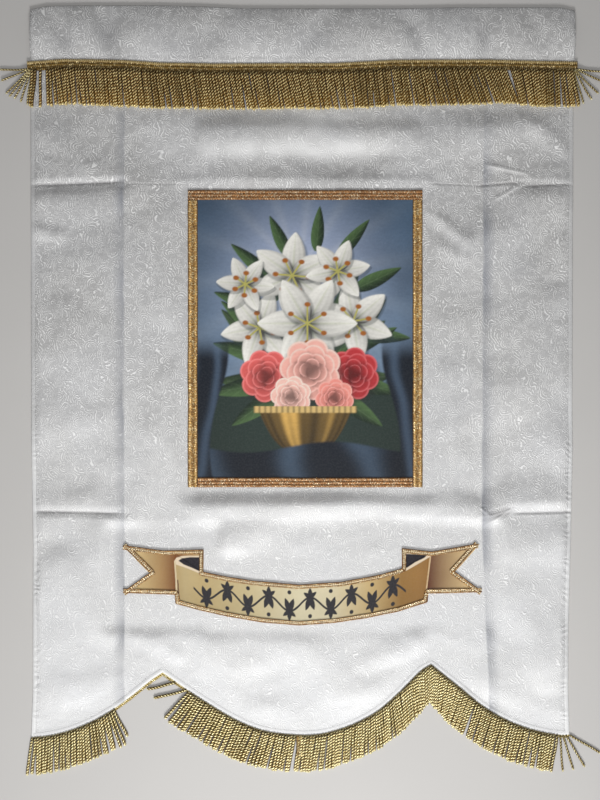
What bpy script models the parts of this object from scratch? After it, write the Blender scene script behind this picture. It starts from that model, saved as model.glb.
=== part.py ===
"""Church banner lying face up on the ground.

Metres, +Z up, +X to the right and +Y towards the rod pocket.  The origin is on
the ground under the middle of the banner's box.  A satin panel with a scalloped
hem carries a rod pocket, three lengths of cord fringe, a framed picture and a
printed ribbon, all laid flat with the creases that packing left in the satin.
"""

import math

import bmesh
import bpy
import numpy as np

# Sheets and the clearance between sewn pieces
CLOTH_THICK = 0.0016
PRINT_THICK = 0.0010
GAP = 0.0003
HEM_GAP = 0.0004

# Levels of the layers that lie on the satin
CLOTH_TOP = CLOTH_THICK
PRINT_LEVEL = CLOTH_TOP + GAP
BRAID_LEVEL = PRINT_LEVEL + PRINT_THICK + GAP

# Seam between the panel and its rod pocket
SEAM_Y = 0.5949

# Panel's side edges: height up the banner, left edge, right edge
SIDES = (
    (0.5949, -0.5000, 0.4963),
    (0.2972, -0.4991, 0.4950),
    (-0.0337, -0.4982, 0.4941),
    (-0.1109, -0.4982, 0.4945),
    (-0.2837, -0.4950, 0.4908),
    (-0.4528, -0.4954, 0.4864),
    (-0.5521, -0.4956, 0.4864),
    (-0.6385, -0.4991, 0.4890),
)

# Hem points: across, up; one tuple for each of the three scallops
HEM_LEFT = (
    (-0.4991, -0.6385), (-0.4651, -0.6348), (-0.4283, -0.6255), (-0.3915, -0.6109),
    (-0.3548, -0.5906), (-0.3180, -0.5641), (-0.2812, -0.5347), (-0.2581, -0.5190),
)
HEM_MIDDLE = (
    (-0.2581, -0.5190), (-0.2077, -0.5540), (-0.1710, -0.5778), (-0.1342, -0.5999),
    (-0.0974, -0.6174), (-0.0607, -0.6283), (-0.0074, -0.6339), (0.0312, -0.6321),
    (0.0680, -0.6230), (0.1048, -0.6083), (0.1415, -0.5865), (0.1783, -0.5540),
    (0.2151, -0.5172), (0.2353, -0.5043),
)
HEM_RIGHT = (
    (0.2353, -0.5043), (0.2886, -0.5466), (0.3254, -0.5768), (0.3621, -0.5999),
    (0.3989, -0.6165), (0.4357, -0.6275), (0.4724, -0.6336), (0.4890, -0.6330),
)
HEM_MEETING_X = -0.0074
HEM_CURVE_STEPS = 6

# Packing creases that run the panel's height: up, left crease, right crease
UPRIGHT_CREASES = (
    (0.5949, -0.3290, 0.3327),
    (0.3744, -0.3290, 0.3320),
    (-0.2267, -0.3290, 0.3290),
    (-0.6000, -0.3290, 0.3438),
)

# Packing creases that run across it: across, upper crease, lower crease
CROSS_CREASES = (
    (-0.5000, 0.3744, -0.2231),
    (-0.3290, 0.3817, -0.2286),
    (0.0000, 0.3800, -0.2270),
    (0.3217, 0.3762, -0.2249),
    (0.3842, 0.3799, -0.2122),
    (0.4963, 0.3744, -0.2139),
)
CREASE_SHOULDER = 0.015

# Sharp folds fall away from their crest by this power of the nearness to it
CREST_POWER = 1.4

# Raised folds: name, start, end, half width, height, sharp crest
FOLDS = (
    ("left upright crease", (-0.3290, 0.5000), (-0.3290, -0.5600), 0.016, 0.0035, True),
    ("right upright crease above", (0.3327, 0.5000), (0.3290, -0.2267), 0.016, 0.0035, True),
    ("right upright crease below", (0.3290, -0.2267), (0.3430, -0.5800), 0.016, 0.0045, True),
    ("above left upper crease", (-0.5000, 0.3924), (-0.3290, 0.3997), 0.020, 0.0040, False),
    ("below left upper crease", (-0.5000, 0.3564), (-0.3290, 0.3637), 0.020, 0.0036, False),
    ("above right upper crease", (0.4000, 0.3965), (0.5000, 0.3930), 0.020, 0.0040, False),
    ("below right upper crease", (0.4000, 0.3590), (0.5000, 0.3570), 0.020, 0.0036, False),
    ("above left lower crease", (-0.5000, -0.2051), (-0.3290, -0.2106), 0.020, 0.0036, False),
    ("below left lower crease", (-0.5000, -0.2411), (-0.3290, -0.2466), 0.020, 0.0032, False),
    ("middle upper crease", (-0.2200, 0.3800), (0.2600, 0.3780), 0.016, 0.0030, True),
    ("right lower puffed fold", (0.3842, -0.2122), (0.5000, -0.2139), 0.016, 0.0080, True),
    ("right lower pinch above", (0.3380, -0.1950), (0.3842, -0.2122), 0.014, 0.0050, True),
    ("right lower pinch below", (0.3254, -0.2400), (0.3842, -0.2122), 0.014, 0.0060, True),
    ("right upper pinch above", (0.3382, 0.4130), (0.4118, 0.3964), 0.020, 0.0045, True),
    ("right upper pinch below", (0.3952, 0.3762), (0.3548, 0.3468), 0.020, 0.0045, True),
    ("swell over the picture", (-0.1300, 0.4780), (0.1900, 0.4780), 0.045, 0.0060, False),
    ("swell under the picture", (-0.1900, -0.2270), (0.3100, -0.2250), 0.030, 0.0070, False),
    ("ripple right of the picture", (0.2600, 0.3130), (0.3050, 0.2600), 0.036, 0.0040, False),
    ("ripple lower on the right", (0.2600, 0.0300), (0.2900, -0.1200), 0.034, 0.0030, False),
    ("ripple left of the picture", (-0.2700, 0.0800), (-0.2600, -0.0900), 0.036, 0.0030, False),
    ("top right ripple", (0.4300, 0.4750), (0.4963, 0.4300), 0.040, 0.0050, False),
    ("top left ripple", (-0.4900, 0.4800), (-0.4100, 0.4300), 0.040, 0.0040, False),
    ("left flap ripple", (-0.4400, 0.1500), (-0.4100, -0.0500), 0.045, 0.0040, False),
    ("right flap ripple", (0.4300, 0.2200), (0.4100, 0.0200), 0.045, 0.0040, False),
    ("lower left ripple", (-0.4450, -0.3200), (-0.3600, -0.4400), 0.045, 0.0055, False),
    ("ripple by the left peak", (-0.3050, -0.4550), (-0.2400, -0.4850), 0.034, 0.0050, False),
    ("ripple by the right peak", (0.1150, -0.4980), (0.2050, -0.4680), 0.032, 0.0045, False),
    ("lower right ripple", (0.4200, -0.4400), (0.4500, -0.5300), 0.040, 0.0045, False),
)
FOLD_TOP_START = 0.5150
FOLD_TOP_FULL = 0.4850
FOLD_HEM_FADE = 0.0350

# Places where what is sewn on keeps the panel flat: name, left, right, bottom, top
FLATS = (
    ("picture", -0.2280, 0.2380, -0.2120, 0.3665),
    ("ribbon's left end", -0.3480, -0.1650, -0.4300, -0.2600),
    ("ribbon's right end", 0.1650, 0.3480, -0.4300, -0.2550),
    ("ribbon's middle", -0.1650, 0.1650, -0.4620, -0.3150),
)
FLAT_FADE = 0.0250

# Cells of the panel's grid between its anchor lines
COLUMN_CELLS = (5, 1, 1, 2, 15, 3, 1, 1, 5)
ROW_CELLS = (7, 1, 1, 14, 1, 1, 11)
GRID_PASSES = 4

# Rod pocket: a flattened sleeve, open at both ends
POCKET_LEFT = -0.5005
POCKET_RIGHT = 0.4991
POCKET_WALL = 0.0011
POCKET_LIP = 0.0020
POCKET_LIP_SHARE = 0.14
POCKET_FOLD = 0.0034
POCKET_ROUND = 0.0012
POCKET_CAVITY = (0.18, 0.97)
POCKET_STATIONS = 22
POCKET_POINTS = 9

# Pocket's folded top edge and the height of its puffed middle along the width
POCKET_SHAPE = (
    (-0.5005, 0.6970, 0.0096),
    (-0.4700, 0.7030, 0.0112),
    (-0.4000, 0.7043, 0.0120),
    (-0.3450, 0.7043, 0.0100),
    (-0.2739, 0.7043, 0.0122),
    (-0.1893, 0.7025, 0.0108),
    (-0.1085, 0.6988, 0.0126),
    (0.0000, 0.6988, 0.0106),
    (0.0900, 0.6988, 0.0124),
    (0.2000, 0.6988, 0.0106),
    (0.2776, 0.7006, 0.0122),
    (0.3330, 0.7006, 0.0099),
    (0.4000, 0.7006, 0.0122),
    (0.4724, 0.7006, 0.0114),
    (0.4991, 0.6950, 0.0098),
)

# Top fringe: heading tape over the seam, with cords that lie on the panel
TAPE_WIDTH = 0.0180
TAPE_LEVEL = POCKET_LIP + GAP
TAPE_THICK = 0.0020
TAPE_LEFT = -0.5070
TAPE_RIGHT = 0.5040
TAPE_EDGE = (
    (-0.5070, 0.6023), (-0.4393, 0.6069), (-0.3290, 0.6051), (-0.2629, 0.6005),
    (-0.1636, 0.5986), (0.0570, 0.5995), (0.1121, 0.6023), (0.1673, 0.6054),
    (0.3327, 0.6060), (0.4430, 0.6032), (0.5040, 0.6023),
)
TOP_PITCH = 0.0073
TOP_LENGTH = 0.0640
EDGE_CLEAR = 0.0010

# Lean of the top cords, in degrees towards the right, along the width
TOP_LEAN = (
    (-0.4900, -4), (-0.4600, 6), (-0.3000, 7), (-0.1500, 10), (0.0000, 12),
    (0.1000, 7), (0.2000, 10), (0.3000, 18), (0.3400, 22), (0.3800, 16),
    (0.4200, 6), (0.4700, 4), (0.4900, 10),
)
TOP_BARE = ((-0.4895, -0.4865), (-0.4760, -0.4740), (0.3740, 0.3810))

# Loose cords past the panel's sides: place on the tape, lean, length
TOP_LOOSE_LEFT = (
    (-0.5058, -84, 0.0487), (-0.5032, -56, 0.0540), (-0.5008, -34, 0.0610),
    (-0.4984, -16, 0.0640),
)
TOP_LOOSE_RIGHT = (
    (0.4958, 18, 0.0640), (0.4982, 36, 0.0610), (0.5006, 58, 0.0540),
    (0.5030, 84, 0.0510),
)

# Hem fringe: a narrow heading just outside the hem, with cords on the ground
HEADING_WIDTH = 0.0045
HEADING_THICK = 0.0022
HEM_PITCH = 0.0072
HEM_LENGTH = 0.0635

# Lean of the hem cords, in degrees towards the right, along the width
HEM_LEAN = (
    (-0.4990, -12), (-0.4900, -3), (-0.4500, -2), (-0.4000, 3), (-0.3700, 10),
    (-0.3500, 24), (-0.3360, 36), (-0.3350, 0), (-0.2400, -70), (-0.2120, -68),
    (-0.2060, -37), (-0.1900, -35), (-0.1500, -30), (-0.1000, -24), (-0.0500, -16),
    (0.0000, -8), (0.0600, -4), (0.1000, -2), (0.1400, 3), (0.1800, 9),
    (0.2100, 5), (0.2353, 0), (0.2600, -11), (0.2900, -20), (0.3300, -22),
    (0.3700, -17), (0.4200, -12), (0.4600, -9), (0.4690, -6), (0.4740, 12),
    (0.4800, 24), (0.4860, 48), (0.4890, 62),
)

# Hem stretches whose cords are tucked under the cloth or parted
HEM_BARE = ((-0.3345, -0.2400), (-0.2330, -0.2225), (-0.2205, -0.2090), (0.3020, 0.3050))

# Cords end narrower than they start
CORD_SHARE = 0.62
CORD_WIDEST = 0.0045
CORD_TALL = 0.0028
CORD_TIP_TALL = 0.0022
CORD_TAPER = 0.75
CORD_BEND = 0.45

# Short end of tape over the place where the two hem lengths meet
TAB_WIDTH = 0.0110
TAB_LENGTH = 0.0400
TAB_THICK = 0.0012
TAB_BEVEL = 0.0004

# Picture: outer corners of its braid frame
PICTURE_LEFT = -0.2112
PICTURE_RIGHT = 0.2192
PICTURE_TOP = 0.3661
PICTURE_BOTTOM = -0.1790
PICTURE_INSET = 0.0015
BRAID_WIDTH = 0.0176
BRAID_CELLS = 8
BRAID_SWAY = 0.0004
BRAID_WAVES = 2.5

# Braid's section: share of its width, height
BRAID_SECTION = (
    (0.00, 0.0013), (0.17, 0.0021), (0.34, 0.0015), (0.50, 0.0022),
    (0.66, 0.0015), (0.83, 0.0021), (1.00, 0.0013),
)

# Ribbon: upper edge, right end's notch, lower edge, left end's notch
RIBBON_UPPER = (
    (-0.3300, -0.2865), (-0.2559, -0.2966), (-0.1833, -0.2945), (-0.1838, -0.3352),
    (-0.1397, -0.3444), (-0.0919, -0.3517), (-0.0074, -0.3591), (0.0700, -0.3540),
    (0.1415, -0.3407), (0.1825, -0.3288), (0.1825, -0.2922), (0.2364, -0.2984),
    (0.3208, -0.2837),
)
RIBBON_NOTCH_RIGHT = (0.2763, -0.3334)
RIBBON_LOWER = (
    (0.3279, -0.3709), (0.2294, -0.3733), (0.2270, -0.3896), (0.1765, -0.4060),
    (0.1193, -0.4179), (0.0588, -0.4271), (-0.0074, -0.4319), (-0.0754, -0.4262),
    (-0.1386, -0.4155), (-0.1893, -0.4041), (-0.2325, -0.3922), (-0.2347, -0.3756),
    (-0.3300, -0.3720),
)
RIBBON_NOTCH_LEFT = (-0.2794, -0.3358)
RIBBON_BRAID_HALF = 0.0024
RIBBON_BRAID_FLATTEN = 0.32
RIBBON_BRAID_INSET = 0.0016
RIBBON_BRAID_TRIM = 0.0140


def column(table, key, index):
    """Value of one column of a table at a key, straight between the rows."""
    keys = np.array([row[0] for row in table])
    values = np.array([row[index] for row in table])
    order = np.argsort(keys)
    return np.interp(key, keys[order], values[order])


def smooth_curve(points, steps):
    """Points of a Catmull-Rom curve that passes through the given points."""
    points = np.array(points)
    ends = np.vstack([2 * points[0] - points[1], points, 2 * points[-1] - points[-2]])
    curve = []
    for index in range(len(points) - 1):
        before, start, end, after = ends[index:index + 4]
        for step in range(steps):
            t = step / steps
            curve.append(0.5 * (
                2 * start
                + (end - before) * t
                + (2 * before - 5 * start + 4 * end - after) * t * t
                + (3 * start - before - 3 * end + after) * t ** 3
            ))
    curve.append(points[-1])
    return np.array(curve)


def hem_curve():
    """Whole hem from the left corner to the right one, with its two peaks sharp."""
    parts = [smooth_curve(part, HEM_CURVE_STEPS) for part in (HEM_LEFT, HEM_MIDDLE, HEM_RIGHT)]
    return np.vstack([parts[0], parts[1][1:], parts[2][1:]])


HEM = hem_curve()


def hem_height(x):
    """Height of the hem up the banner at a place across it."""
    return np.interp(x, HEM[:, 0], HEM[:, 1])


def ease(value):
    """Smooth step from 0 to 1."""
    value = np.clip(value, 0.0, 1.0)
    return value * value * (3.0 - 2.0 * value)


def fold_height(x, y):
    """How far the folds lift the panel off the ground at a point."""
    lift = 0.0
    for _name, start, end, half_width, height, sharp in FOLDS:
        run = (end[0] - start[0], end[1] - start[1])
        along = ((x - start[0]) * run[0] + (y - start[1]) * run[1]) / (run[0] ** 2 + run[1] ** 2)
        along = min(max(along, 0.0), 1.0)
        away = math.hypot(x - start[0] - along * run[0], y - start[1] - along * run[1])
        near = max(0.0, 1.0 - away / half_width)
        share = near ** CREST_POWER if sharp else ease(near)
        lift = max(lift, height * share)
    lift *= ease((FOLD_TOP_START - y) / (FOLD_TOP_START - FOLD_TOP_FULL))
    lift *= ease((y - hem_height(x)) / FOLD_HEM_FADE)
    for _name, left, right, bottom, top in FLATS:
        beside = max(left - x, x - right, 0.0)
        beyond = max(bottom - y, y - top, 0.0)
        lift *= ease(math.hypot(beside, beyond) / FLAT_FADE)
    return lift


def spread(anchors, cells):
    """Divide the stretches between anchors into the given numbers of cells."""
    values = [anchors[0]]
    for start, end, count in zip(anchors, anchors[1:], cells):
        for step in range(1, count + 1):
            values.append(start + (end - start) * step / count)
    return values


def column_anchors(y):
    """Places across the panel that its grid columns pass through at a height."""
    left_crease = column(UPRIGHT_CREASES, y, 1)
    right_crease = column(UPRIGHT_CREASES, y, 2)
    return (
        column(SIDES, y, 1), left_crease - CREASE_SHOULDER, left_crease,
        left_crease + CREASE_SHOULDER, HEM_MIDDLE[0][0], HEM_MIDDLE[-1][0],
        right_crease - CREASE_SHOULDER, right_crease, right_crease + CREASE_SHOULDER,
        column(SIDES, y, 2),
    )


def row_anchors(x):
    """Heights up the panel that its grid rows pass through at a place across."""
    upper = column(CROSS_CREASES, x, 1)
    lower = column(CROSS_CREASES, x, 2)
    return (
        SEAM_Y, upper + CREASE_SHOULDER, upper, upper - CREASE_SHOULDER,
        lower + CREASE_SHOULDER, lower, lower - CREASE_SHOULDER, hem_height(x),
    )


def panel_point(u, v):
    """Point of the panel's outline grid: column u, row v counted from the seam."""
    y = row_anchors(0.0)[0]
    x = 0.0
    for _pass in range(GRID_PASSES):
        x = spread(column_anchors(y), COLUMN_CELLS)[u]
        y = spread(row_anchors(x), ROW_CELLS)[v]
    return x, y


def new_material(name, colour, roughness, metallic=0.0):
    """Principled material with one colour, roughness and metallic value."""
    material = bpy.data.materials.new(name)
    material.use_nodes = True
    shader = material.node_tree.nodes["Principled BSDF"]
    shader.inputs["Base Color"].default_value = (*colour, 1.0)
    shader.inputs["Roughness"].default_value = roughness
    shader.inputs["Metallic"].default_value = metallic
    material.diffuse_color = (*colour, 1.0)
    return material


def add_object(name, data, material, collection):
    """Put a mesh or curve in the banner's collection with its material."""
    data.materials.append(material)
    thing = bpy.data.objects.new(name, data)
    collection.objects.link(thing)
    return thing


def mesh_from(bm, name):
    """Turn a bmesh into a mesh whose faces point outwards."""
    bmesh.ops.recalc_face_normals(bm, faces=bm.faces)
    mesh = bpy.data.meshes.new(name)
    bm.to_mesh(mesh)
    bm.free()
    return mesh


def make_panel(material, collection):
    """Satin panel: a grid moved onto its outline and folds, thickened upwards."""
    columns = sum(COLUMN_CELLS)
    rows = sum(ROW_CELLS)
    bm = bmesh.new()
    bmesh.ops.create_grid(bm, x_segments=columns, y_segments=rows, size=0.5)
    for vert in bm.verts:
        u = round((vert.co.x + 0.5) * columns)
        v = round((0.5 - vert.co.y) * rows)
        x, y = panel_point(u, v)
        vert.co = (x, y, fold_height(x, y))
    mesh = bpy.data.meshes.new("cloth")
    bm.to_mesh(mesh)
    bm.free()
    panel = add_object("cloth", mesh, material, collection)
    thicken = panel.modifiers.new("thickness", "SOLIDIFY")
    thicken.thickness = CLOTH_THICK
    thicken.offset = 1.0
    return panel


def pocket_loops(x):
    """Outer and inner outline of the sleeve at a place along it."""
    top = column(POCKET_SHAPE, x, 1)
    crown = column(POCKET_SHAPE, x, 2)
    bottom = SEAM_Y + GAP
    depth = top - bottom

    def front(share):
        rise = max(0.0, (share - POCKET_LIP_SHARE) / (1.0 - POCKET_LIP_SHARE))
        arch = max(0.0, math.sin(math.pi * rise))
        base = POCKET_LIP + (POCKET_FOLD - POCKET_LIP) * rise
        return base + (crown - base) * arch

    outer = []
    inner = []
    first, last = POCKET_CAVITY
    for step in range(POCKET_POINTS):
        share = step / (POCKET_POINTS - 1)
        outer.append((x, bottom + depth * share, 0.0))
        inner.append((x, bottom + depth * (first + (last - first) * share), POCKET_WALL))
    outer.append((x, top + POCKET_ROUND, POCKET_FOLD / 2))
    inner.append((x, bottom + depth * last + POCKET_ROUND / 2, POCKET_FOLD / 2))
    for step in reversed(range(POCKET_POINTS)):
        past_lip = max(0, step - 1) / (POCKET_POINTS - 2)
        share = POCKET_LIP_SHARE + (1.0 - POCKET_LIP_SHARE) * past_lip if step else 0.0
        outer.append((x, bottom + depth * share, front(share)))
        within = first + (last - first) * step / (POCKET_POINTS - 1)
        roof = max(front(within) - POCKET_WALL, POCKET_WALL + GAP) if step else POCKET_WALL + GAP
        inner.append((x, bottom + depth * within, roof))
    return outer, inner


def make_rod_pocket(material, collection):
    """Sleeve for the rod: outer and inner outlines carried along the width."""
    bm = bmesh.new()
    rings = []
    for step in range(POCKET_STATIONS + 1):
        x = POCKET_LEFT + (POCKET_RIGHT - POCKET_LEFT) * step / POCKET_STATIONS
        rings.append([[bm.verts.new(point) for point in loop] for loop in pocket_loops(x)])
    count = len(rings[0][0])
    for before, after in zip(rings, rings[1:]):
        for loop in range(2):
            for index in range(count):
                nxt = (index + 1) % count
                bm.faces.new((before[loop][index], before[loop][nxt],
                              after[loop][nxt], after[loop][index]))
    for outer, inner in (rings[0], rings[-1]):
        for index in range(count):
            nxt = (index + 1) % count
            bm.faces.new((outer[index], outer[nxt], inner[nxt], inner[index]))
    add_object("rod_pocket", mesh_from(bm, "rod_pocket"), material, collection)


def lean_way(degrees):
    """Direction on the ground of a cord that leans so far from straight down."""
    angle = math.radians(degrees)
    return np.array((math.sin(angle), -math.cos(angle)))


def is_bare(x, spans):
    """True where a heading has no cord."""
    return any(start <= x <= end for start, end in spans)


def cord_stations(root, way, length):
    """Middle points of a cord between its root and its tip."""
    return [root + way * length * CORD_BEND, root + way * length]


def cord_widths(stations):
    """Width of every cord at its stations, from the room to its neighbours."""
    widths = []
    for index, own in enumerate(stations):
        row = []
        for place in range(2):
            room = CORD_WIDEST / CORD_SHARE
            for other in (index - 1, index + 1):
                if own is not None and 0 <= other < len(stations) and stations[other] is not None:
                    room = min(room, np.linalg.norm(own[place] - stations[other][place]))
            row.append(room * CORD_SHARE)
        widths.append(row)
    return widths


def make_fringe(name, near, far, cords, level, thick, floor_of, material, collection):
    """Heading strip between two lines of points, with a cord from each far cell.

    near and far are the strip's two long edges; cords holds one row for each
    cell: None, or the lean and the length; floor_of gives the level of a cord's
    underside past a place on its middle line, where it is so wide.
    """
    bm = bmesh.new()
    sections = []
    for a, b in zip(near, far):
        sections.append([
            bm.verts.new((a[0], a[1], level)), bm.verts.new((a[0], a[1], level + thick)),
            bm.verts.new((b[0], b[1], level + thick)), bm.verts.new((b[0], b[1], level)),
        ])
    stations = []
    for index, cord in enumerate(cords):
        if cord is None:
            stations.append(None)
            continue
        root = (far[index] + far[index + 1]) / 2
        stations.append(cord_stations(root, lean_way(cord[0]), cord[1]))
    widths = cord_widths(stations)
    for index, cord in enumerate(cords):
        one, two = sections[index], sections[index + 1]
        for side in (0, 1, 3):
            after = (side + 1) % 4
            bm.faces.new((one[side], one[after], two[after], two[side]))
        if cord is None:
            bm.faces.new((one[2], one[3], two[3], two[2]))
            continue
        ring = [one[3], two[3], two[2], one[2]]
        way = lean_way(cord[0])
        across = np.array((-way[1], way[0]))
        before = (far[index] + far[index + 1]) / 2
        for place, tall in ((0, CORD_TALL), (1, CORD_TIP_TALL)):
            middle = stations[index][place]
            half = widths[index][place] / 2
            base = floor_of(before, half)
            corners = ((-half, 0.0), (half, 0.0), (half * CORD_TAPER, tall), (-half * CORD_TAPER, tall))
            nxt = [bm.verts.new((*(middle + across * aside), base + up)) for aside, up in corners]
            for side in range(4):
                after = (side + 1) % 4
                bm.faces.new((ring[side], ring[after], nxt[after], nxt[side]))
            ring = nxt
            before = middle
        bm.faces.new(ring)
    bm.faces.new(sections[0])
    bm.faces.new(sections[-1])
    add_object(name, mesh_from(bm, name), material, collection)


def make_top_fringe(material, collection):
    """Tape over the seam; its end cords fan out past the panel onto the ground."""
    first = [row[0] for row in TOP_LOOSE_LEFT]
    last = [row[0] for row in TOP_LOOSE_RIGHT]
    left_edges = [TAPE_LEFT] + [(a + b) / 2 for a, b in zip(first, first[1:])]
    right_edges = [(a + b) / 2 for a, b in zip(last, last[1:])] + [TAPE_RIGHT]
    body_start = 2 * first[-1] - left_edges[-1]
    body_end = 2 * last[0] - right_edges[0]
    count = round((body_end - body_start) / TOP_PITCH)
    body = [body_start + (body_end - body_start) * step / count for step in range(count + 1)]
    edges = left_edges + body + right_edges
    near = [np.array((x, column(TAPE_EDGE, x, 1))) for x in edges]
    far = [point - np.array((0.0, TAPE_WIDTH)) for point in near]
    cords = [(row[1], row[2]) for row in TOP_LOOSE_LEFT]
    for start, end in zip(body, body[1:]):
        x = (start + end) / 2
        bare = is_bare(x, TOP_BARE)
        cords.append(None if bare else (column(TOP_LEAN, x, 1), TOP_LENGTH))
    cords += [(row[1], row[2]) for row in TOP_LOOSE_RIGHT]

    def level_past(place, half):
        reach = half + EDGE_CLEAR
        past_left = place[0] + reach < column(SIDES, place[1], 1)
        past_right = place[0] - reach > column(SIDES, place[1], 2)
        return 0.0 if past_left or past_right else CLOTH_TOP + GAP

    make_fringe("fringe_top", near, far, cords, TAPE_LEVEL, TAPE_THICK, level_past, material, collection)


def offset_line(points, distance):
    """Line of points moved to the right of its own direction, with mitred corners."""
    moved = []
    for index, point in enumerate(points):
        before = points[index] - points[max(index - 1, 0)]
        after = points[min(index + 1, len(points) - 1)] - points[index]
        normals = []
        for run in (before, after):
            length = np.linalg.norm(run)
            if length > 0.0:
                normals.append(np.array((run[1], -run[0])) / length)
        mean = sum(normals) / len(normals)
        moved.append(point + mean / np.dot(mean, mean) * distance)
    return moved


def along_hem(start_x, end_x, pitch):
    """Points an even pitch apart along the panel's hem edge, peaks included."""
    rows = sum(ROW_CELLS)
    edge = [panel_point(u, rows) for u in range(sum(COLUMN_CELLS) + 1)]
    edge = np.array(edge)
    reach = np.concatenate(([0.0], np.cumsum(np.hypot(*np.diff(edge, axis=0).T))))
    peaks = [x for x in (HEM_MIDDLE[0][0], HEM_MIDDLE[-1][0]) if start_x < x < end_x]
    marks = [np.interp(x, edge[:, 0], reach) for x in (start_x, *peaks, end_x)]
    places = [marks[0]]
    for begin, finish in zip(marks, marks[1:]):
        count = round((finish - begin) / pitch)
        places += [begin + (finish - begin) * step / count for step in range(1, count + 1)]
    return [np.array((np.interp(p, reach, edge[:, 0]), np.interp(p, reach, edge[:, 1]))) for p in places]


def make_hem_fringe(name, start_x, end_x, material, collection):
    """One length of fringe along the hem, its cords level on the ground."""
    line = along_hem(start_x, end_x, HEM_PITCH)
    near = offset_line(line, HEM_GAP)
    far = offset_line(line, HEM_GAP + HEADING_WIDTH)
    cords = []
    for start, end in zip(line, line[1:]):
        x = (start[0] + end[0]) / 2
        bare = is_bare(x, HEM_BARE)
        cords.append(None if bare else (column(HEM_LEAN, x, 1), HEM_LENGTH))
    make_fringe(name, near, far, cords, 0.0, HEADING_THICK, lambda place, half: 0.0, material, collection)


def make_box(name, low, high, material, collection, bevel=0.0):
    """Plain block between two corners, its edges eased where a bevel is given."""
    bm = bmesh.new()
    bmesh.ops.create_cube(bm, size=1.0)
    size = [b - a for a, b in zip(low, high)]
    middle = [(a + b) / 2 for a, b in zip(low, high)]
    bmesh.ops.scale(bm, vec=size, verts=bm.verts)
    bmesh.ops.translate(bm, vec=middle, verts=bm.verts)
    block = add_object(name, mesh_from(bm, name), material, collection)
    if bevel:
        edges = block.modifiers.new("eased edges", "BEVEL")
        edges.width = bevel
        edges.segments = 1
    return block


def make_tab(material, collection):
    """Short tape end that lies on the cords where the hem lengths meet."""
    top = float(hem_height(HEM_MEETING_X)) - HEM_GAP
    level = CORD_TALL + GAP
    half = TAB_WIDTH / 2
    low = (HEM_MEETING_X - half, top - TAB_LENGTH, level)
    high = (HEM_MEETING_X + half, top, level + TAB_THICK)
    make_box("fringe_tab", low, high, material, collection, TAB_BEVEL)


def make_braid(name, start, end, material, collection):
    """Ribbed flat braid between two points; its section lies left of its way."""
    start = np.array(start)
    end = np.array(end)
    way = (end - start) / np.linalg.norm(end - start)
    side = np.array((-way[1], way[0]))
    bm = bmesh.new()
    rings = []
    for step in range(BRAID_CELLS + 1):
        share = step / BRAID_CELLS
        sway = BRAID_SWAY * math.sin(share * math.tau * BRAID_WAVES) * math.sin(share * math.pi)
        point = start + (end - start) * share + side * sway
        ring = []
        for across, tall in BRAID_SECTION:
            place = point + side * across * BRAID_WIDTH
            ring.append(bm.verts.new((place[0], place[1], BRAID_LEVEL + tall)))
        for across in (1.0, 0.0):
            place = point + side * across * BRAID_WIDTH
            ring.append(bm.verts.new((place[0], place[1], BRAID_LEVEL)))
        rings.append(ring)
    count = len(rings[0])
    for before, after in zip(rings, rings[1:]):
        for index in range(count):
            nxt = (index + 1) % count
            bm.faces.new((before[index], before[nxt], after[nxt], after[index]))
    bm.faces.new(rings[0])
    bm.faces.new(rings[-1])
    add_object(name, mesh_from(bm, name), material, collection)


def make_picture(print_material, braid_material, collection):
    """Printed satin picture and the four lengths of braid over its edges."""
    low = (PICTURE_LEFT + PICTURE_INSET, PICTURE_BOTTOM + PICTURE_INSET, PRINT_LEVEL)
    high = (PICTURE_RIGHT - PICTURE_INSET, PICTURE_TOP - PICTURE_INSET, PRINT_LEVEL + PRINT_THICK)
    make_box("picture_print", low, high, print_material, collection)
    inner_left = PICTURE_LEFT + BRAID_WIDTH
    inner_right = PICTURE_RIGHT - BRAID_WIDTH
    inner_top = PICTURE_TOP - BRAID_WIDTH
    clear = 2 * BRAID_SWAY + GAP
    lengths = (
        ("picture_braid_top", (PICTURE_LEFT, inner_top), (PICTURE_RIGHT, inner_top)),
        ("picture_braid_left", (inner_left, PICTURE_BOTTOM), (inner_left, inner_top - clear)),
        ("picture_braid_right", (PICTURE_RIGHT, PICTURE_BOTTOM), (PICTURE_RIGHT, inner_top - clear)),
        ("picture_braid_bottom", (inner_left + clear, PICTURE_BOTTOM), (inner_right - clear, PICTURE_BOTTOM)),
    )
    for name, start, end in lengths:
        make_braid(name, start, end, braid_material, collection)


def flat_curve(name, points, half_thick, level):
    """Filled flat outline as a 2D curve, standing on a level."""
    curve = bpy.data.curves.new(name, "CURVE")
    curve.dimensions = "2D"
    curve.fill_mode = "BOTH"
    curve.extrude = half_thick
    spline = curve.splines.new("POLY")
    spline.points.add(len(points) - 1)
    for place, point in zip(spline.points, points):
        place.co = (point[0], point[1], 0.0, 1.0)
    spline.use_cyclic_u = True
    return curve, level + half_thick


def trimmed(points, distance):
    """Line of points with both its ends cut back by a distance."""
    points = [np.array(point) for point in points]
    for end, nxt in ((0, 1), (-1, -2)):
        run = points[nxt] - points[end]
        points[end] = points[end] + run / np.linalg.norm(run) * distance
    return points


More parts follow.
